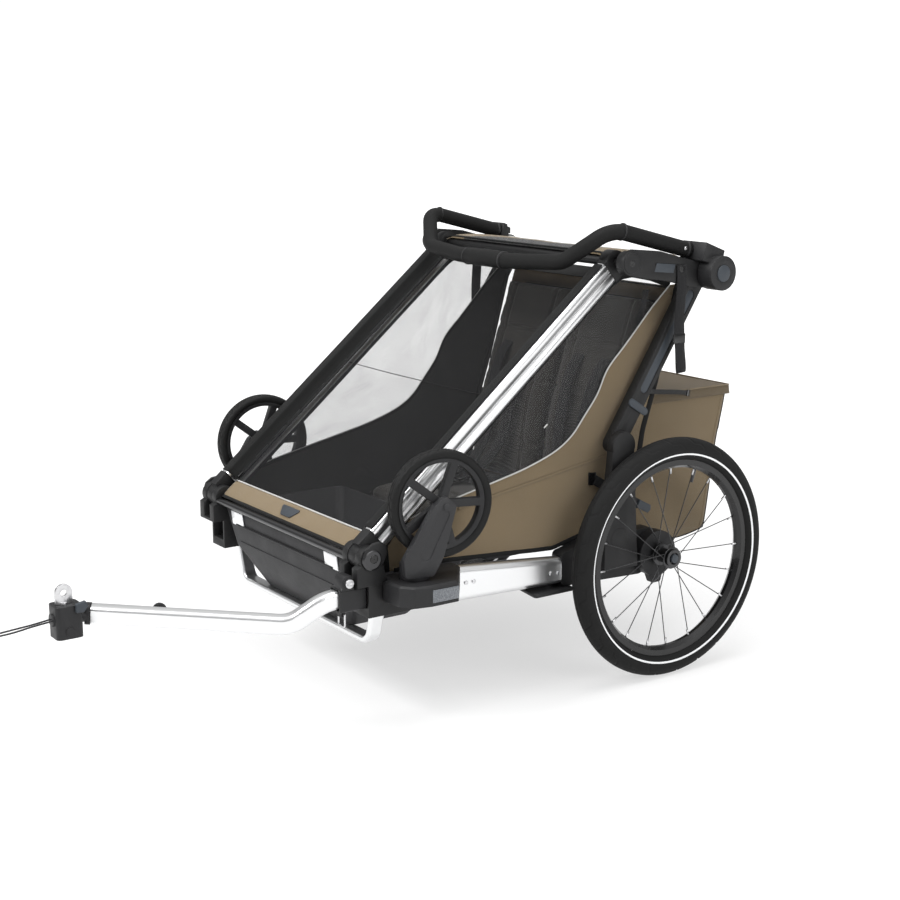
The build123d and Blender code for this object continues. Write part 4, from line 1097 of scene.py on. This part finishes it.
def add_rear_wall(context):
    """Cloth wall behind the seats, with its net vent, seams and binding."""
    line = curved([Vector((0, y, z)) for y, z in [(-22, 293), (-12, 380), (4, 500.5), (38, 600.5), (68, 696),
                                                  (98, 789)]], 6)

    def skin(u, v):
        p = at_share(line, v)
        x = (-1 + 2 * u) * (CLOTH_X / MM - 5.5)
        point = at(x, p.y, p.z)
        belly = 3.2 * swell(u) * swell(v) + 1.6 * ripple(point, 0.09, 4.0) * swell(u) ** 0.4 * swell(v)
        return point + Vector((0, belly * MM, 0))

    def pick(u, v):
        return 1 if 0.09 < u < 0.91 and 0.60 < v < 0.93 else 0
    wall = sheet("rear_wall", skin, (88, 60), [mat("tan_cloth"), mat("dark_cloth")], mat("wall_lining"), pick=pick)
    frozen(wall)
    back = Vector((0, 0.0016, 0))
    ring = [(0.09 + 0.82 * k / 30, 0.60) for k in range(31)] + [(0.91, 0.60 + 0.33 * k / 12) for k in range(1, 13)]
    ring += [(0.91 - 0.82 * k / 30, 0.93) for k in range(1, 31)] + [(0.09, 0.93 - 0.33 * k / 12) for k in range(1, 12)]
    trims = [swept("vent", [skin(*p) + back for p in ring], circle(0.0019, 8), mat("edge_piping"), closed=True)]
    for v in (0.42, 0.985):
        cross = [skin(0.004 + 0.992 * k / 50, v) + back * 0.8 for k in range(51)]
        trims.append(swept("tape", cross, band(0.010, 0.0018), mat("dark_tape"), across=(0, 0, 1)))
    extra = joined("rear_trims", trims)
    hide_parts("rear_panel")
    for obj in (wall, extra):
        crumple(obj)
    run_length(line) * MM


def pressed(obj, cap, pressure=4.0):
    """Blows a closed form up like a pad: remeshed, pressed out as cloth, each point's move capped."""
    voxel = obj.modifiers.new("voxels", "REMESH")
    voxel.mode = "VOXEL"
    voxel.voxel_size = sizes().pad_voxel
    frozen(obj)
    before = np.array([tuple(v.co) for v in obj.data.vertices])
    cloth_mod = obj.modifiers.new("pad", "CLOTH")
    settings = cloth_mod.settings
    settings.quality = 5
    settings.mass = 0.3
    settings.tension_stiffness = settings.compression_stiffness = 25
    settings.bending_stiffness = 1.5
    settings.use_pressure = True
    settings.uniform_pressure_force = pressure
    settings.effector_weights.gravity = 0.0
    cloth_mod.collision_settings.use_collision = False
    cloth_mod.point_cache.frame_start, cloth_mod.point_cache.frame_end = 1, PAD_FRAMES
    for step in range(1, PAD_FRAMES + 1):
        bpy.context.scene.frame_set(step)
    frozen(obj)
    bpy.context.scene.frame_set(1)
    after = np.array([tuple(v.co) for v in obj.data.vertices])
    if len(after) == len(before):
        move = after - before
        far = np.linalg.norm(move, axis=1, keepdims=True)
        move *= np.minimum(1.0, cap / np.maximum(far, 1e-9))
        obj.data.vertices.foreach_set("co", (before + move).ravel())
    smooth = obj.modifiers.new("smooth", "SMOOTH")
    smooth.factor, smooth.iterations = 0.5, 6
    frozen(obj)
    return obj


def closed_form(name, rings, material):
    """A closed skin through rings of points."""
    n = len(rings[0])
    verts = [p for ring in rings for p in ring]
    faces = [(k * n + m, k * n + (m + 1) % n, (k + 1) * n + (m + 1) % n, (k + 1) * n + m)
             for k in range(len(rings) - 1) for m in range(n)]
    faces += [tuple(range(n))[::-1], tuple((len(rings) - 1) * n + m for m in range(n))]
    obj = add_mesh(name, verts, faces)
    obj.data.materials.append(material)
    mesh = bmesh.new()
    mesh.from_mesh(obj.data)
    bmesh.ops.recalc_face_normals(mesh, faces=mesh.faces)
    mesh.to_mesh(obj.data)
    mesh.free()
    return obj


def sink(obj, test, depth):
    """Sewn channels: every point moves against its normal by depth * test(point)."""
    normals = [v.normal.copy() for v in obj.data.vertices]
    for v, normal in zip(obj.data.vertices, normals):
        v.co -= normal * depth * test(v.co)
    obj.data.update()


def notch(distance, width):
    return math.exp(-(distance / width) ** 2)


def add_seats(context):
    """Seat pad and two padded backs with their channels, and the harness webbing."""
    s = sizes()
    half, pinch = 246, s.pad_cap * 0.35 / MM

    def oval(y, x0, x1, z0, z1):
        pts, r = [], 13
        for cx, cz, a0 in ((x1 - r, z1 - r, 0), (x0 + r, z1 - r, 90), (x0 + r, z0 + r, 180), (x1 - r, z0 + r, 270)):
            for k in range(5):
                a = math.radians(a0 + 90 * k / 4)
                pts.append(at(cx + r * math.cos(a), y, cz + r * math.sin(a)))
        return pts
    rings = [oval(-337, -half, half, 296, 318), oval(-330, -half, half, 294, 323), oval(-290, -half, half, 293.5, 326),
             oval(-120, -half, half, 293.5, 326), oval(-30, -half, half, 294, 325)]
    base = pressed(closed_form("seat_pad", rings, mat("seat_cloth")), 0.004)
    sink(base, lambda p: notch((p.y - AXLE.y) / MM + 232, 5) + notch((p.y - AXLE.y) / MM + 128, 5)
         + notch(p.x / MM, 6) * 1.2, 0.0045)
    backs = []
    for x0, x1 in ((-249, -2), (2, 249)):
        rows = []
        for k in range(9):
            t = k / 8
            rear = between([(-24, 333), (-1, 498), (32, 596), (80, 758)], t)
            fore = between([(-66, 333), (-40, 505), (-9, 608), (46, 768)], t)
            drop = 3.0 if k in (0, 8) else 0.0
            pts = []
            for m in range(20):
                a = math.tau * m / 20
                across = max(-1.0, min(1.0, math.cos(a) * 1.28))
                deep = max(-1.0, min(1.0, math.sin(a) * 1.28))
                y = (rear[0] + fore[0]) / 2 + (rear[0] - fore[0]) / 2 * deep * (1 - 0.10 * abs(across))
                z = (rear[1] + fore[1]) / 2 + (rear[1] - fore[1]) / 2 * deep
                pts.append(at((x0 + x1) / 2 + (x1 - x0 - pinch * 2 - drop * 2) / 2 * across, y, z))
            rows.append(pts)
        back = pressed(closed_form("back_pad", rows, mat("seat_cloth")), s.pad_cap * 0.5)
        middle = (x0 + x1) / 2
        sink(back, lambda p: notch(p.z / MM - 424, 5) + notch(p.z / MM - 560, 5) + notch(p.z / MM - 664, 5)
             + notch(abs(p.x / MM - middle) - 74, 4), 0.0040)
        backs.append(back)
    pads = joined("seat_back_pads", backs)
    straps = []
    for middle in (-127, 127):
        for dx in (-44, 44):
            line = [at(middle + dx, 4, 640), at(middle + dx * 0.96, -30, 600), at(middle + dx * 0.86, -58, 520),
                    at(middle + dx * 0.66, -82, 420), at(middle + dx * 0.34, -150, 346)]
            straps.append(swept("shoulder", curved(line, 8), band(0.034, 0.0050), mat("webbing"), across=(1, 0, 0)))
        for dx in (-104, 104):
            line = [at(middle + dx, -58, 352), at(middle + dx * 0.8, -110, 348), at(middle + dx * 0.2, -160, 344)]
            straps.append(swept("lap", curved(line, 8), band(0.024, 0.0018), mat("webbing"), across=(0, 1, 0.6)))
        crotch = [at(middle, -262, 330.5), at(middle, -210, 336), at(middle, -168, 345)]
        straps.append(swept("crotch", curved(crotch, 8), band(0.024, 0.0018), mat("webbing"), across=(1, 0, 0)))
        straps.append(plate("buckle", [(-20, -18), (-22, 12), (-10, 22), (10, 22), (22, 12), (20, -18)], 9,
                            at(middle, -165, 343), (1, 0, 0), (0, 1, 0.35), mat("gloss_black"), 2.5))
    harness = joined("seat_harness", straps)
    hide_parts("seat_base")
    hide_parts("seat_backs")
    for one in (base, pads):
        crumple(one)
    crumple(harness)


BAG_LINE = [(42, 545), (24, 522), (6.9, 500), (-4, 420), (-12.5, 345), (6, 300), (60, 254), (110, 241), (164, 232),
            (231, 242), (243, 256), (256, 340), (270, 436), (286, 505), (294, 545)]


def add_bag(context):
    """Rear luggage bag: a sagging cloth shell with seams, and its lid with a skirt."""
    s = sizes()
    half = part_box("bag_body")[1].x / MM
    line = [Vector((0, y, z)) for y, z in BAG_LINE]
    smooth_line = curved(line, 5)

    def skin(u, v):
        p = at_share(smooth_line, v)
        side = -1 + 2 * u
        x = side * half
        middle = Vector((0, 145, 400))
        out = (Vector((0, p.y, p.z)) - middle).normalized()
        loose = 3.4 * swell(v) * swell(u) ** 0.6
        point = at(x, p.y, p.z)
        wave = 2.4 * ripple(point, 0.085, 7.0) * swell(v) * swell(u) ** 0.5
        move = out * (loose * -0.4 + wave)
        if p.y < 20:
            move = move * 0.15
        return at(x, p.y + move.y, p.z + move.z)
    wrap = sheet("bag_wrap", skin, (70, 96), mat("tan_cloth"), mat("wall_lining"), thickness=s.cloth * 2)
    walls, trims = [wrap], []

    def gusset(u, v):
        front = [Vector((0, y, z)) for y, z in BAG_LINE[:8]][::-1]
        rear = [Vector((0, y, z)) for y, z in BAG_LINE[7:]]
        a, b = at_share(front, v), at_share(rear, v)
        p = a.lerp(b, u)
        bow = 5.5 * swell(u) ** 0.7 * swell(v) ** 0.8
        point = at(half, p.y, p.z)
        wave = 3.0 * ripple(point, 0.10, 11.0) * swell(u) ** 0.5 * swell(v) ** 0.6
        crease = 1.8 * math.sin((p.y * 0.5 + p.z) * 0.06) * swell(u) * swell(v)
        return at(half - 0.5 + 0.5 * bow + 0.6 * wave + 0.5 * crease, p.y, p.z)
    for sign in (1, -1):
        def place(u, v, sign=sign):
            p = gusset(u if sign > 0 else 1 - u, v)
            return Vector((p.x * sign, p.y, p.z))
        walls.append(sheet("bag_side", place, (50, 54), mat("tan_cloth"), mat("wall_lining"), thickness=s.cloth * 2))
        edge = [at(half * sign, *p.yz) for p in smooth_line]
        trims.append(swept("bag_piping", edge, circle(s.piping * 0.9, 8), mat("dark_tape")))
        seam = [place(0.97 if sign > 0 else 0.03, 0.30 + 0.66 * k / 24) + Vector((0.0010 * sign, 0, 0))
                for k in range(25)]
        trims.append(swept("bag_seam", seam, band(0.005, 0.0012), mat("tan_cloth"), across=(0, 1, 0)))
    tape = [at(-half + 2 * half * k / 40, 281.0 + 1.2 * math.sin(k * 0.9), 472) for k in range(41)]
    trims.append(swept("rear_tape", tape, band(0.022, 0.0018), mat("webbing"), across=(0, 0.2, 1)))
    rim = [at(-half, 44, 543), at(half, 44, 543), at(half, 292, 543), at(-half, 292, 543)]
    ring = []
    for a, b in zip(rim, rim[1:] + rim[:1]):
        ring += [a.lerp(b, k / 20) for k in range(20)]
    trims.append(swept("mouth", ring, circle(0.0022, 8), mat("dark_tape"), closed=True))
    body = joined("bag", walls)
    extra = joined("bag_trims", trims)
    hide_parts("bag_body")
    for one in (body, extra):
        crumple(one)
    low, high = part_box("bag_lid")
    x_out, y0, y1, top = high.x / MM, (low.y - AXLE.y) / MM, (high.y - AXLE.y) / MM, high.z / MM

    def cap(u, v):
        fold = 0.075
        du, dv = min(u, 1 - u), min(v, 1 - v)
        drop = 0.0
        for d in (du, dv if v > 0.5 else 1.0):
            if d < fold:
                drop = max(drop, (fold - d) / fold)
        skirt = drop ** 0.8
        inner_u = (min(max(u, fold), 1 - fold) - fold) / (1 - 2 * fold)
        inner_v = (min(max(v, fold), 1 - fold) - fold) / (1 - 2 * fold)
        x = (-1 + 2 * inner_u) * x_out
        y = y0 + (y1 - y0) * inner_v
        point = at(x, y, top)
        sag = 7.0 * swell(inner_u) * swell(inner_v)
        wave = 2.0 * ripple(point, 0.07, 15.0) * (swell(inner_u) * swell(inner_v)) ** 0.3
        z = top - 1.5 - sag + wave - skirt * 19.0
        flare = 1.6 * skirt
        x += math.copysign(flare, x) if du < fold else 0.0
        y += (flare if v > 0.5 else -flare * 0.2) if dv < fold else 0.0
        return at(x, y, z)
    lid = sheet("bag_cover", cap, (92, 70), mat("lid_cloth"), mat("wall_lining"), thickness=s.cloth * 1.6)
    frozen(lid)
    ring = [(0.075, 0.075), (0.925, 0.075), (0.925, 0.925), (0.075, 0.925)]
    path = []
    for (ua, va), (ub, vb) in zip(ring, ring[1:] + ring[:1]):
        path += [cap(ua + (ub - ua) * k / 24, va + (vb - va) * k / 24) + Vector((0, 0, 0.001)) for k in range(24)]
    details = [swept("lid_piping", path, circle(0.0017, 8), mat("tan_cloth"), closed=True)]
    pull = curved([at(150, y1 + 2.0, top - 8), at(150, y1 + 3.4, top - 20), at(150, y1 + 3.0, top - 44)], 6)
    details.append(swept("lid_pull", pull, band(0.020, 0.0020), mat("webbing"), across=(1, 0, 0)))
    stitches = joined("bag_cover_trims", details)
    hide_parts("bag_lid")
    for one in (lid, stitches):
        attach(one, "bag_lid")
        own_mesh(one)


def add_push_bar(context):
    """Collars, screws and end rings of the push bar."""
    pieces = []
    a, b = at(322, 74, 870.5), at(316, -122, 920)
    run = (b - a).normalized()
    for shift, width in ((0.004, 0.006), (0.176, 0.003)):
        root = a + run * shift
        pieces.append(disc("collar", root, run, 0.0178, width, mat("black_casting"), dome=0.02, steps=48))
    screw = a + run * 0.020 + Vector((0.0162, 0, 0))
    pieces.append(disc("screw", screw, (1, 0, 0), 0.0042, 0.0018, mat("zinc_steel"), steps=24))
    collars = joined("bar_collars", pieces)
    for one in pair(collars, "bar_collars"):
        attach(one, "handlebar")
    grip_low, grip_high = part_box("centre_grip")
    rings = []
    middle = (grip_low + grip_high) / 2
    for sign in (-1, 1):
        root = Vector((sign * (grip_high.x - 0.003), middle.y, middle.z))
        rings.append(disc("end_ring", root, (sign, 0, 0), 0.0186, 0.004, mat("black_shell"), dome=0.02, steps=48))
    ends = joined("grip_rings", rings)
    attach(ends, "handlebar")


def add_webbing(context):
    """The hanging carrying straps with their keepers, and the straps with buckles to the bag."""
    low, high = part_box("hanging_straps")
    x, top, foot = high.x / MM - 0.2, high.z / MM, low.z / MM
    y = ((low.y + high.y) / 2 - AXLE.y) / MM
    outer = [at(x + 0.2, y - 1, top - 2), at(x + 0.9, y, top - 40), at(x + 0.6, y - 4, top - 110),
             at(x + 1.2, y - 2, foot + 60), at(x + 1.3, y + 4, foot + 16), at(x + 0.4, y + 5, foot + 2),
             at(x - 0.7, y + 4, foot + 10), at(x - 0.9, y + 1, foot + 54), at(x - 0.9, y - 2, foot + 104)]
    loop = swept("loop", curved(outer, 8), band(sizes().strap, 0.0014), mat("webbing"), across=(0, 1, 0))
    keeper_at = outer[3].lerp(outer[2], 0.2)
    keeper = plate("keeper", [(-16, -10), (-16, 10), (16, 10), (16, -10)], 4.4,
                   Vector((keeper_at.x - 0.0034, keeper_at.y, keeper_at.z)), (0, 1, 0), (0, 0, 1),
                   mat("gloss_black"), 1.6)
    root = disc("anchor", at(x - 1.6, y - 1, top - 10), (1, 0, 0), 0.0075, 0.0030, mat("gloss_black"), steps=30)
    straps = pair(joined("carry_strap", [loop, keeper, root]), "carry_strap")
    for one in straps:
        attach(one, "top_frame")
    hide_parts("hanging_straps")
    line = curved([at(314, -12, 588), at(296, 26, 580), at(262, 110, 566), at(229.5, 176, 553)], 8)
    stay = swept("stay", line, band(0.010, 0.0015), mat("webbing"), across=(0, 0.2, 1))
    hook = plate("hook", [(-9, -7), (-9, 7), (9, 7), (9, -7)], 2.6, line[-1], line[-1] - line[-4], (0, 0.2, 1),
                 mat("gloss_black"), 0.8)
    for one in pair(joined("bag_stay", [stay, hook]), "bag_stay"):
        crumple(one)


LEASH_D = 0.0034
LEASH_PATH = [(86, -1206, 262), (85, -1240, 259), (83, -1275, 253), (84, -1310, 252), (82, -1345, 249),
              (78, -1378, 243), (72, -1402, 235), (62, -1408, 231), (54, -1396, 236), (56, -1368, 243),
              (62, -1332, 248), (66, -1298, 251), (70, -1264, 255), (73, -1234, 258), (74, -1206, 262)]


def add_leash(context):
    """The wrist leash: a limp cord in a loop, through its slider."""
    line = [at(*p) for p in LEASH_PATH]
    curve = bpy.data.curves.new("wrist_leash", "CURVE")
    curve.dimensions = "3D"
    curve.bevel_depth = LEASH_D / 2
    curve.bevel_resolution = 4
    curve.resolution_u = 8
    curve.use_fill_caps = True
    spline = curve.splines.new("NURBS")
    spline.points.add(len(line) - 1)
    for target, point in zip(spline.points, line):
        target.co = (*point, 1.0)
    spline.order_u = 3
    spline.use_endpoint_u = True
    leash = bpy.data.objects.new("wrist_leash", curve)
    context.scene.collection.objects.link(leash)
    curve.materials.append(mat("cord_braid"))
    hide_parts("leash_cord")
    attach(leash, "hitch_head")


def add_hardware(context):
    """Hinge covers, caps, bolts and moulded details on the frame's joints."""
    def fix(made, name, body, both=True):
        for one in pair(made, name) if both else (made,):
            if not both:
                one.name = name
            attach(one, body)
    out = (1, 0, 0)
    low = FRONT_PIVOT
    cover = [(-21, -17), (-24, 2), (-18, 18), (-4, 27), (14, 29), (26, 20), (28, 4), (20, -14), (4, -22), (-10, -22)]
    lid = plate("hinge_lid", cover, 6.5, Vector((0.3205, low.y + 0.004, low.z + 0.004)), (0, 1, 0), (0, 0, 1),
                mat("black_casting"), 3.4)
    fix(joined("hinge_lid", [lid, disc("pin", Vector((0.3268, low.y + 0.002, low.z + 0.002)), out, 0.0085, 0.0026,
                                       mat("gloss_black"))]), "hinge_lid", "chassis")
    cap = disc("arch_cap", Vector((0.3472, TOP_PIVOT.y, TOP_PIVOT.z)), out, 0.0205, 0.0030, mat("black_casting"),
               dome=0.1)
    dot = disc("arch_dot", Vector((0.3498, TOP_PIVOT.y, TOP_PIVOT.z)), out, 0.0062, 0.0009, mat("gloss_black"))
    blank = plate("blank", [(-32, -7), (-26, 10), (24, 5), (19, -12)], 1.0, at(346.2, -4, 841), (0, 1, 0), (0, 0, 1),
                  mat("slate_plastic"), 0.4)
    fix(joined("arch_details", [cap, dot, blank]), "arch_details", "top_frame")
    knee = disc("knee_cap", Vector((0.3268, KNEE_PIVOT.y, KNEE_PIVOT.z)), out, 0.0150, 0.0055, mat("black_casting"))
    knee_dot = disc("knee_dot", Vector((0.3320, KNEE_PIVOT.y, KNEE_PIVOT.z)), out, 0.0055, 0.0016, mat("zinc_steel"))
    fix(joined("knee_cap", [knee, knee_dot]), "knee_cap", "uprights")
    bolts = []
    for y, z in ((-470, 262), (-452, 262), (-262, 245), (-244, 243)):
        bolts.append(disc("bolt", at(316.0, y, z), out, 0.0042, 0.0024, mat("zinc_steel"), steps=20))
    fix(joined("rail_bolts", bolts), "rail_bolts", "chassis")
    y = (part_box("foot_tub")[0].y - AXLE.y) / MM
    rows = []
    for z, depth, rise in ((300.0, 2.2, 1.2), (262.0, 1.6, 9.5)):
        line = [at(-196 + 392 * k / 30, y + rise - 0.6, z) for k in range(31)]
        rows.append(swept("tub_rib", line, circle(depth * MM, 10), mat("foot_shell")))
    fix(joined("tub_ribs", rows), "tub_ribs", "chassis", both=False)
    tab_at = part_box("hitch_receiver")
    front = (tab_at[0].y - AXLE.y) / MM
    lock = disc("lock", at(290, front + 0.6, 280), (0, -1, 0), 0.0085, 0.0036, mat("light_plastic"), steps=32)
    fix(lock, "arm_lock", "chassis", both=False)


# ---- studio and main -------------------------------------------------------------------------------
def light(name, kind, place, target, energy, size=1.0, tone=(1, 1, 1)):
    data = bpy.data.lights.new(name, kind)
    data.energy = energy
    data.color = tone
    if kind == "AREA":
        data.shape = "RECTANGLE"
        data.size, data.size_y = size, size * 0.7
    obj = bpy.data.objects.new(name, data)
    obj.location = place
    obj.rotation_euler = (Vector(target) - Vector(place)).to_track_quat("-Z", "Y").to_euler()
    bpy.context.scene.collection.objects.link(obj)
    return obj


def add_stage(context):
    """White studio floor, soft lights and the camera."""
    scene = context.scene
    floor = add_mesh("studio_floor", [(-40, -40, 0), (40, -40, 0), (40, 40, 0), (-40, 40, 0)], [(0, 1, 2, 3)])
    floor.data.materials.append(mat("studio_floor"))
    lights = [light("key", "AREA", (-0.4, -3.4, 3.6), (0, -0.1, 0.4), 150, 1.9),
              light("top", "AREA", (0.6, 0.2, 4.2), (0, 0, 0.4), 70, 3.0),
              light("fill", "AREA", (4.2, 0.8, 2.0), (0, 0, 0.4), 62, 2.6)]
    world = bpy.data.worlds.new("studio")
    world.use_nodes = True
    tree = Tree(world.node_tree)
    up = tree.node("SeparateXYZ", {0: tree.node("TexCoord").outputs["Generated"]}).outputs[2]
    dome = tree.spread(up, 0.05, 0.8, 0.14, 0.95)
    seen = tree.node("LightPath").outputs["Is Camera Ray"]
    strength = tree.math("ADD", tree.math("MULTIPLY", seen, 1.05), tree.math("MULTIPLY", dome, tree.math(
        "SUBTRACT", 1.0, seen)))
    tree.put(world.node_tree.nodes["Background"].inputs["Color"], (1.0, 1.0, 1.0, 1.0))
    tree.put(world.node_tree.nodes["Background"].inputs["Strength"], strength)
    scene.world = world
    data = bpy.data.cameras.new("view")
    data.lens = sizes().lens
    data.sensor_width = 36.0
    camera = bpy.data.objects.new("view", data)
    camera.location = (2.68065, -1.705135, 1.149823)
    camera.rotation_euler = tuple(math.radians(a) for a in (77.8086, 0.0, 55.0947))
    scene.collection.objects.link(camera)
    scene.camera = camera
    scene.render.resolution_x = scene.render.resolution_y = 900
    scene.view_settings.view_transform = "Standard"
    scene.view_settings.look = "None"


STEPS = [("materials", "Make materials", lambda context: make_materials()),
         ("frame_parts", "Finish the frame", show_frame_parts),
         ("road_tyres", "Add road tyres", add_road_tyres),
         ("caster_tyres", "Add stroller tyres", add_caster_tyres),
         ("cover", "Add mesh cover", add_cover),
         ("side_walls", "Add side walls", add_side_walls),
         ("side_windows", "Add side windows", add_side_windows),
         ("roof", "Add roof", add_roof),
         ("rear_wall", "Add rear wall", add_rear_wall),
         ("seats", "Add seats", add_seats),
         ("bag", "Add bag", add_bag),
         ("push_bar", "Add push bar details", add_push_bar),
         ("webbing", "Add webbing", add_webbing),
         ("leash", "Add wrist leash", add_leash),
         ("hardware", "Add hardware", add_hardware),
         ("stage", "Add studio", add_stage)]


def operator(key, label, work):
    """An operator class that runs one step."""
    def execute(self, context):
        work(context)
        return {"FINISHED"}
    return type("TRAILER_OT_" + key, (bpy.types.Operator,),
                {"__doc__": work.__doc__ or label, "bl_idname": "trailer." + key, "bl_label": label,
                 "execute": execute})


OPERATORS = [operator(*step) for step in STEPS]


class TRAILER_PT_panel(bpy.types.Panel):
    """Buttons for the trailer's steps and its colours and sizes."""

    bl_idname = "TRAILER_PT_panel"
    bl_label = "Trailer"
    bl_space_type = "VIEW_3D"
    bl_region_type = "UI"
    bl_category = "Trailer"

    def draw(self, context):
        for one in OPERATORS:
            self.layout.operator(one.bl_idname)
        for holder in (context.scene.trailer_colours, context.scene.trailer_sizes):
            for key in holder.__annotations__:
                self.layout.prop(holder, key)


CLASSES = [TrailerColours, TrailerSizes, *OPERATORS, TRAILER_PT_panel]


def register():
    for one in CLASSES:
        bpy.utils.register_class(one)
    bpy.types.Scene.trailer_colours = PointerProperty(type=TrailerColours)
    bpy.types.Scene.trailer_sizes = PointerProperty(type=TrailerSizes)


def unregister():
    del bpy.types.Scene.trailer_sizes
    del bpy.types.Scene.trailer_colours
    for one in reversed(CLASSES):
        bpy.utils.unregister_class(one)


def main():
    """Builds the whole trailer and writes its size beside it."""
    register()
    for key, _, _ in STEPS:
        getattr(bpy.ops.trailer, key)()


if __name__ == "__main__":
    main()
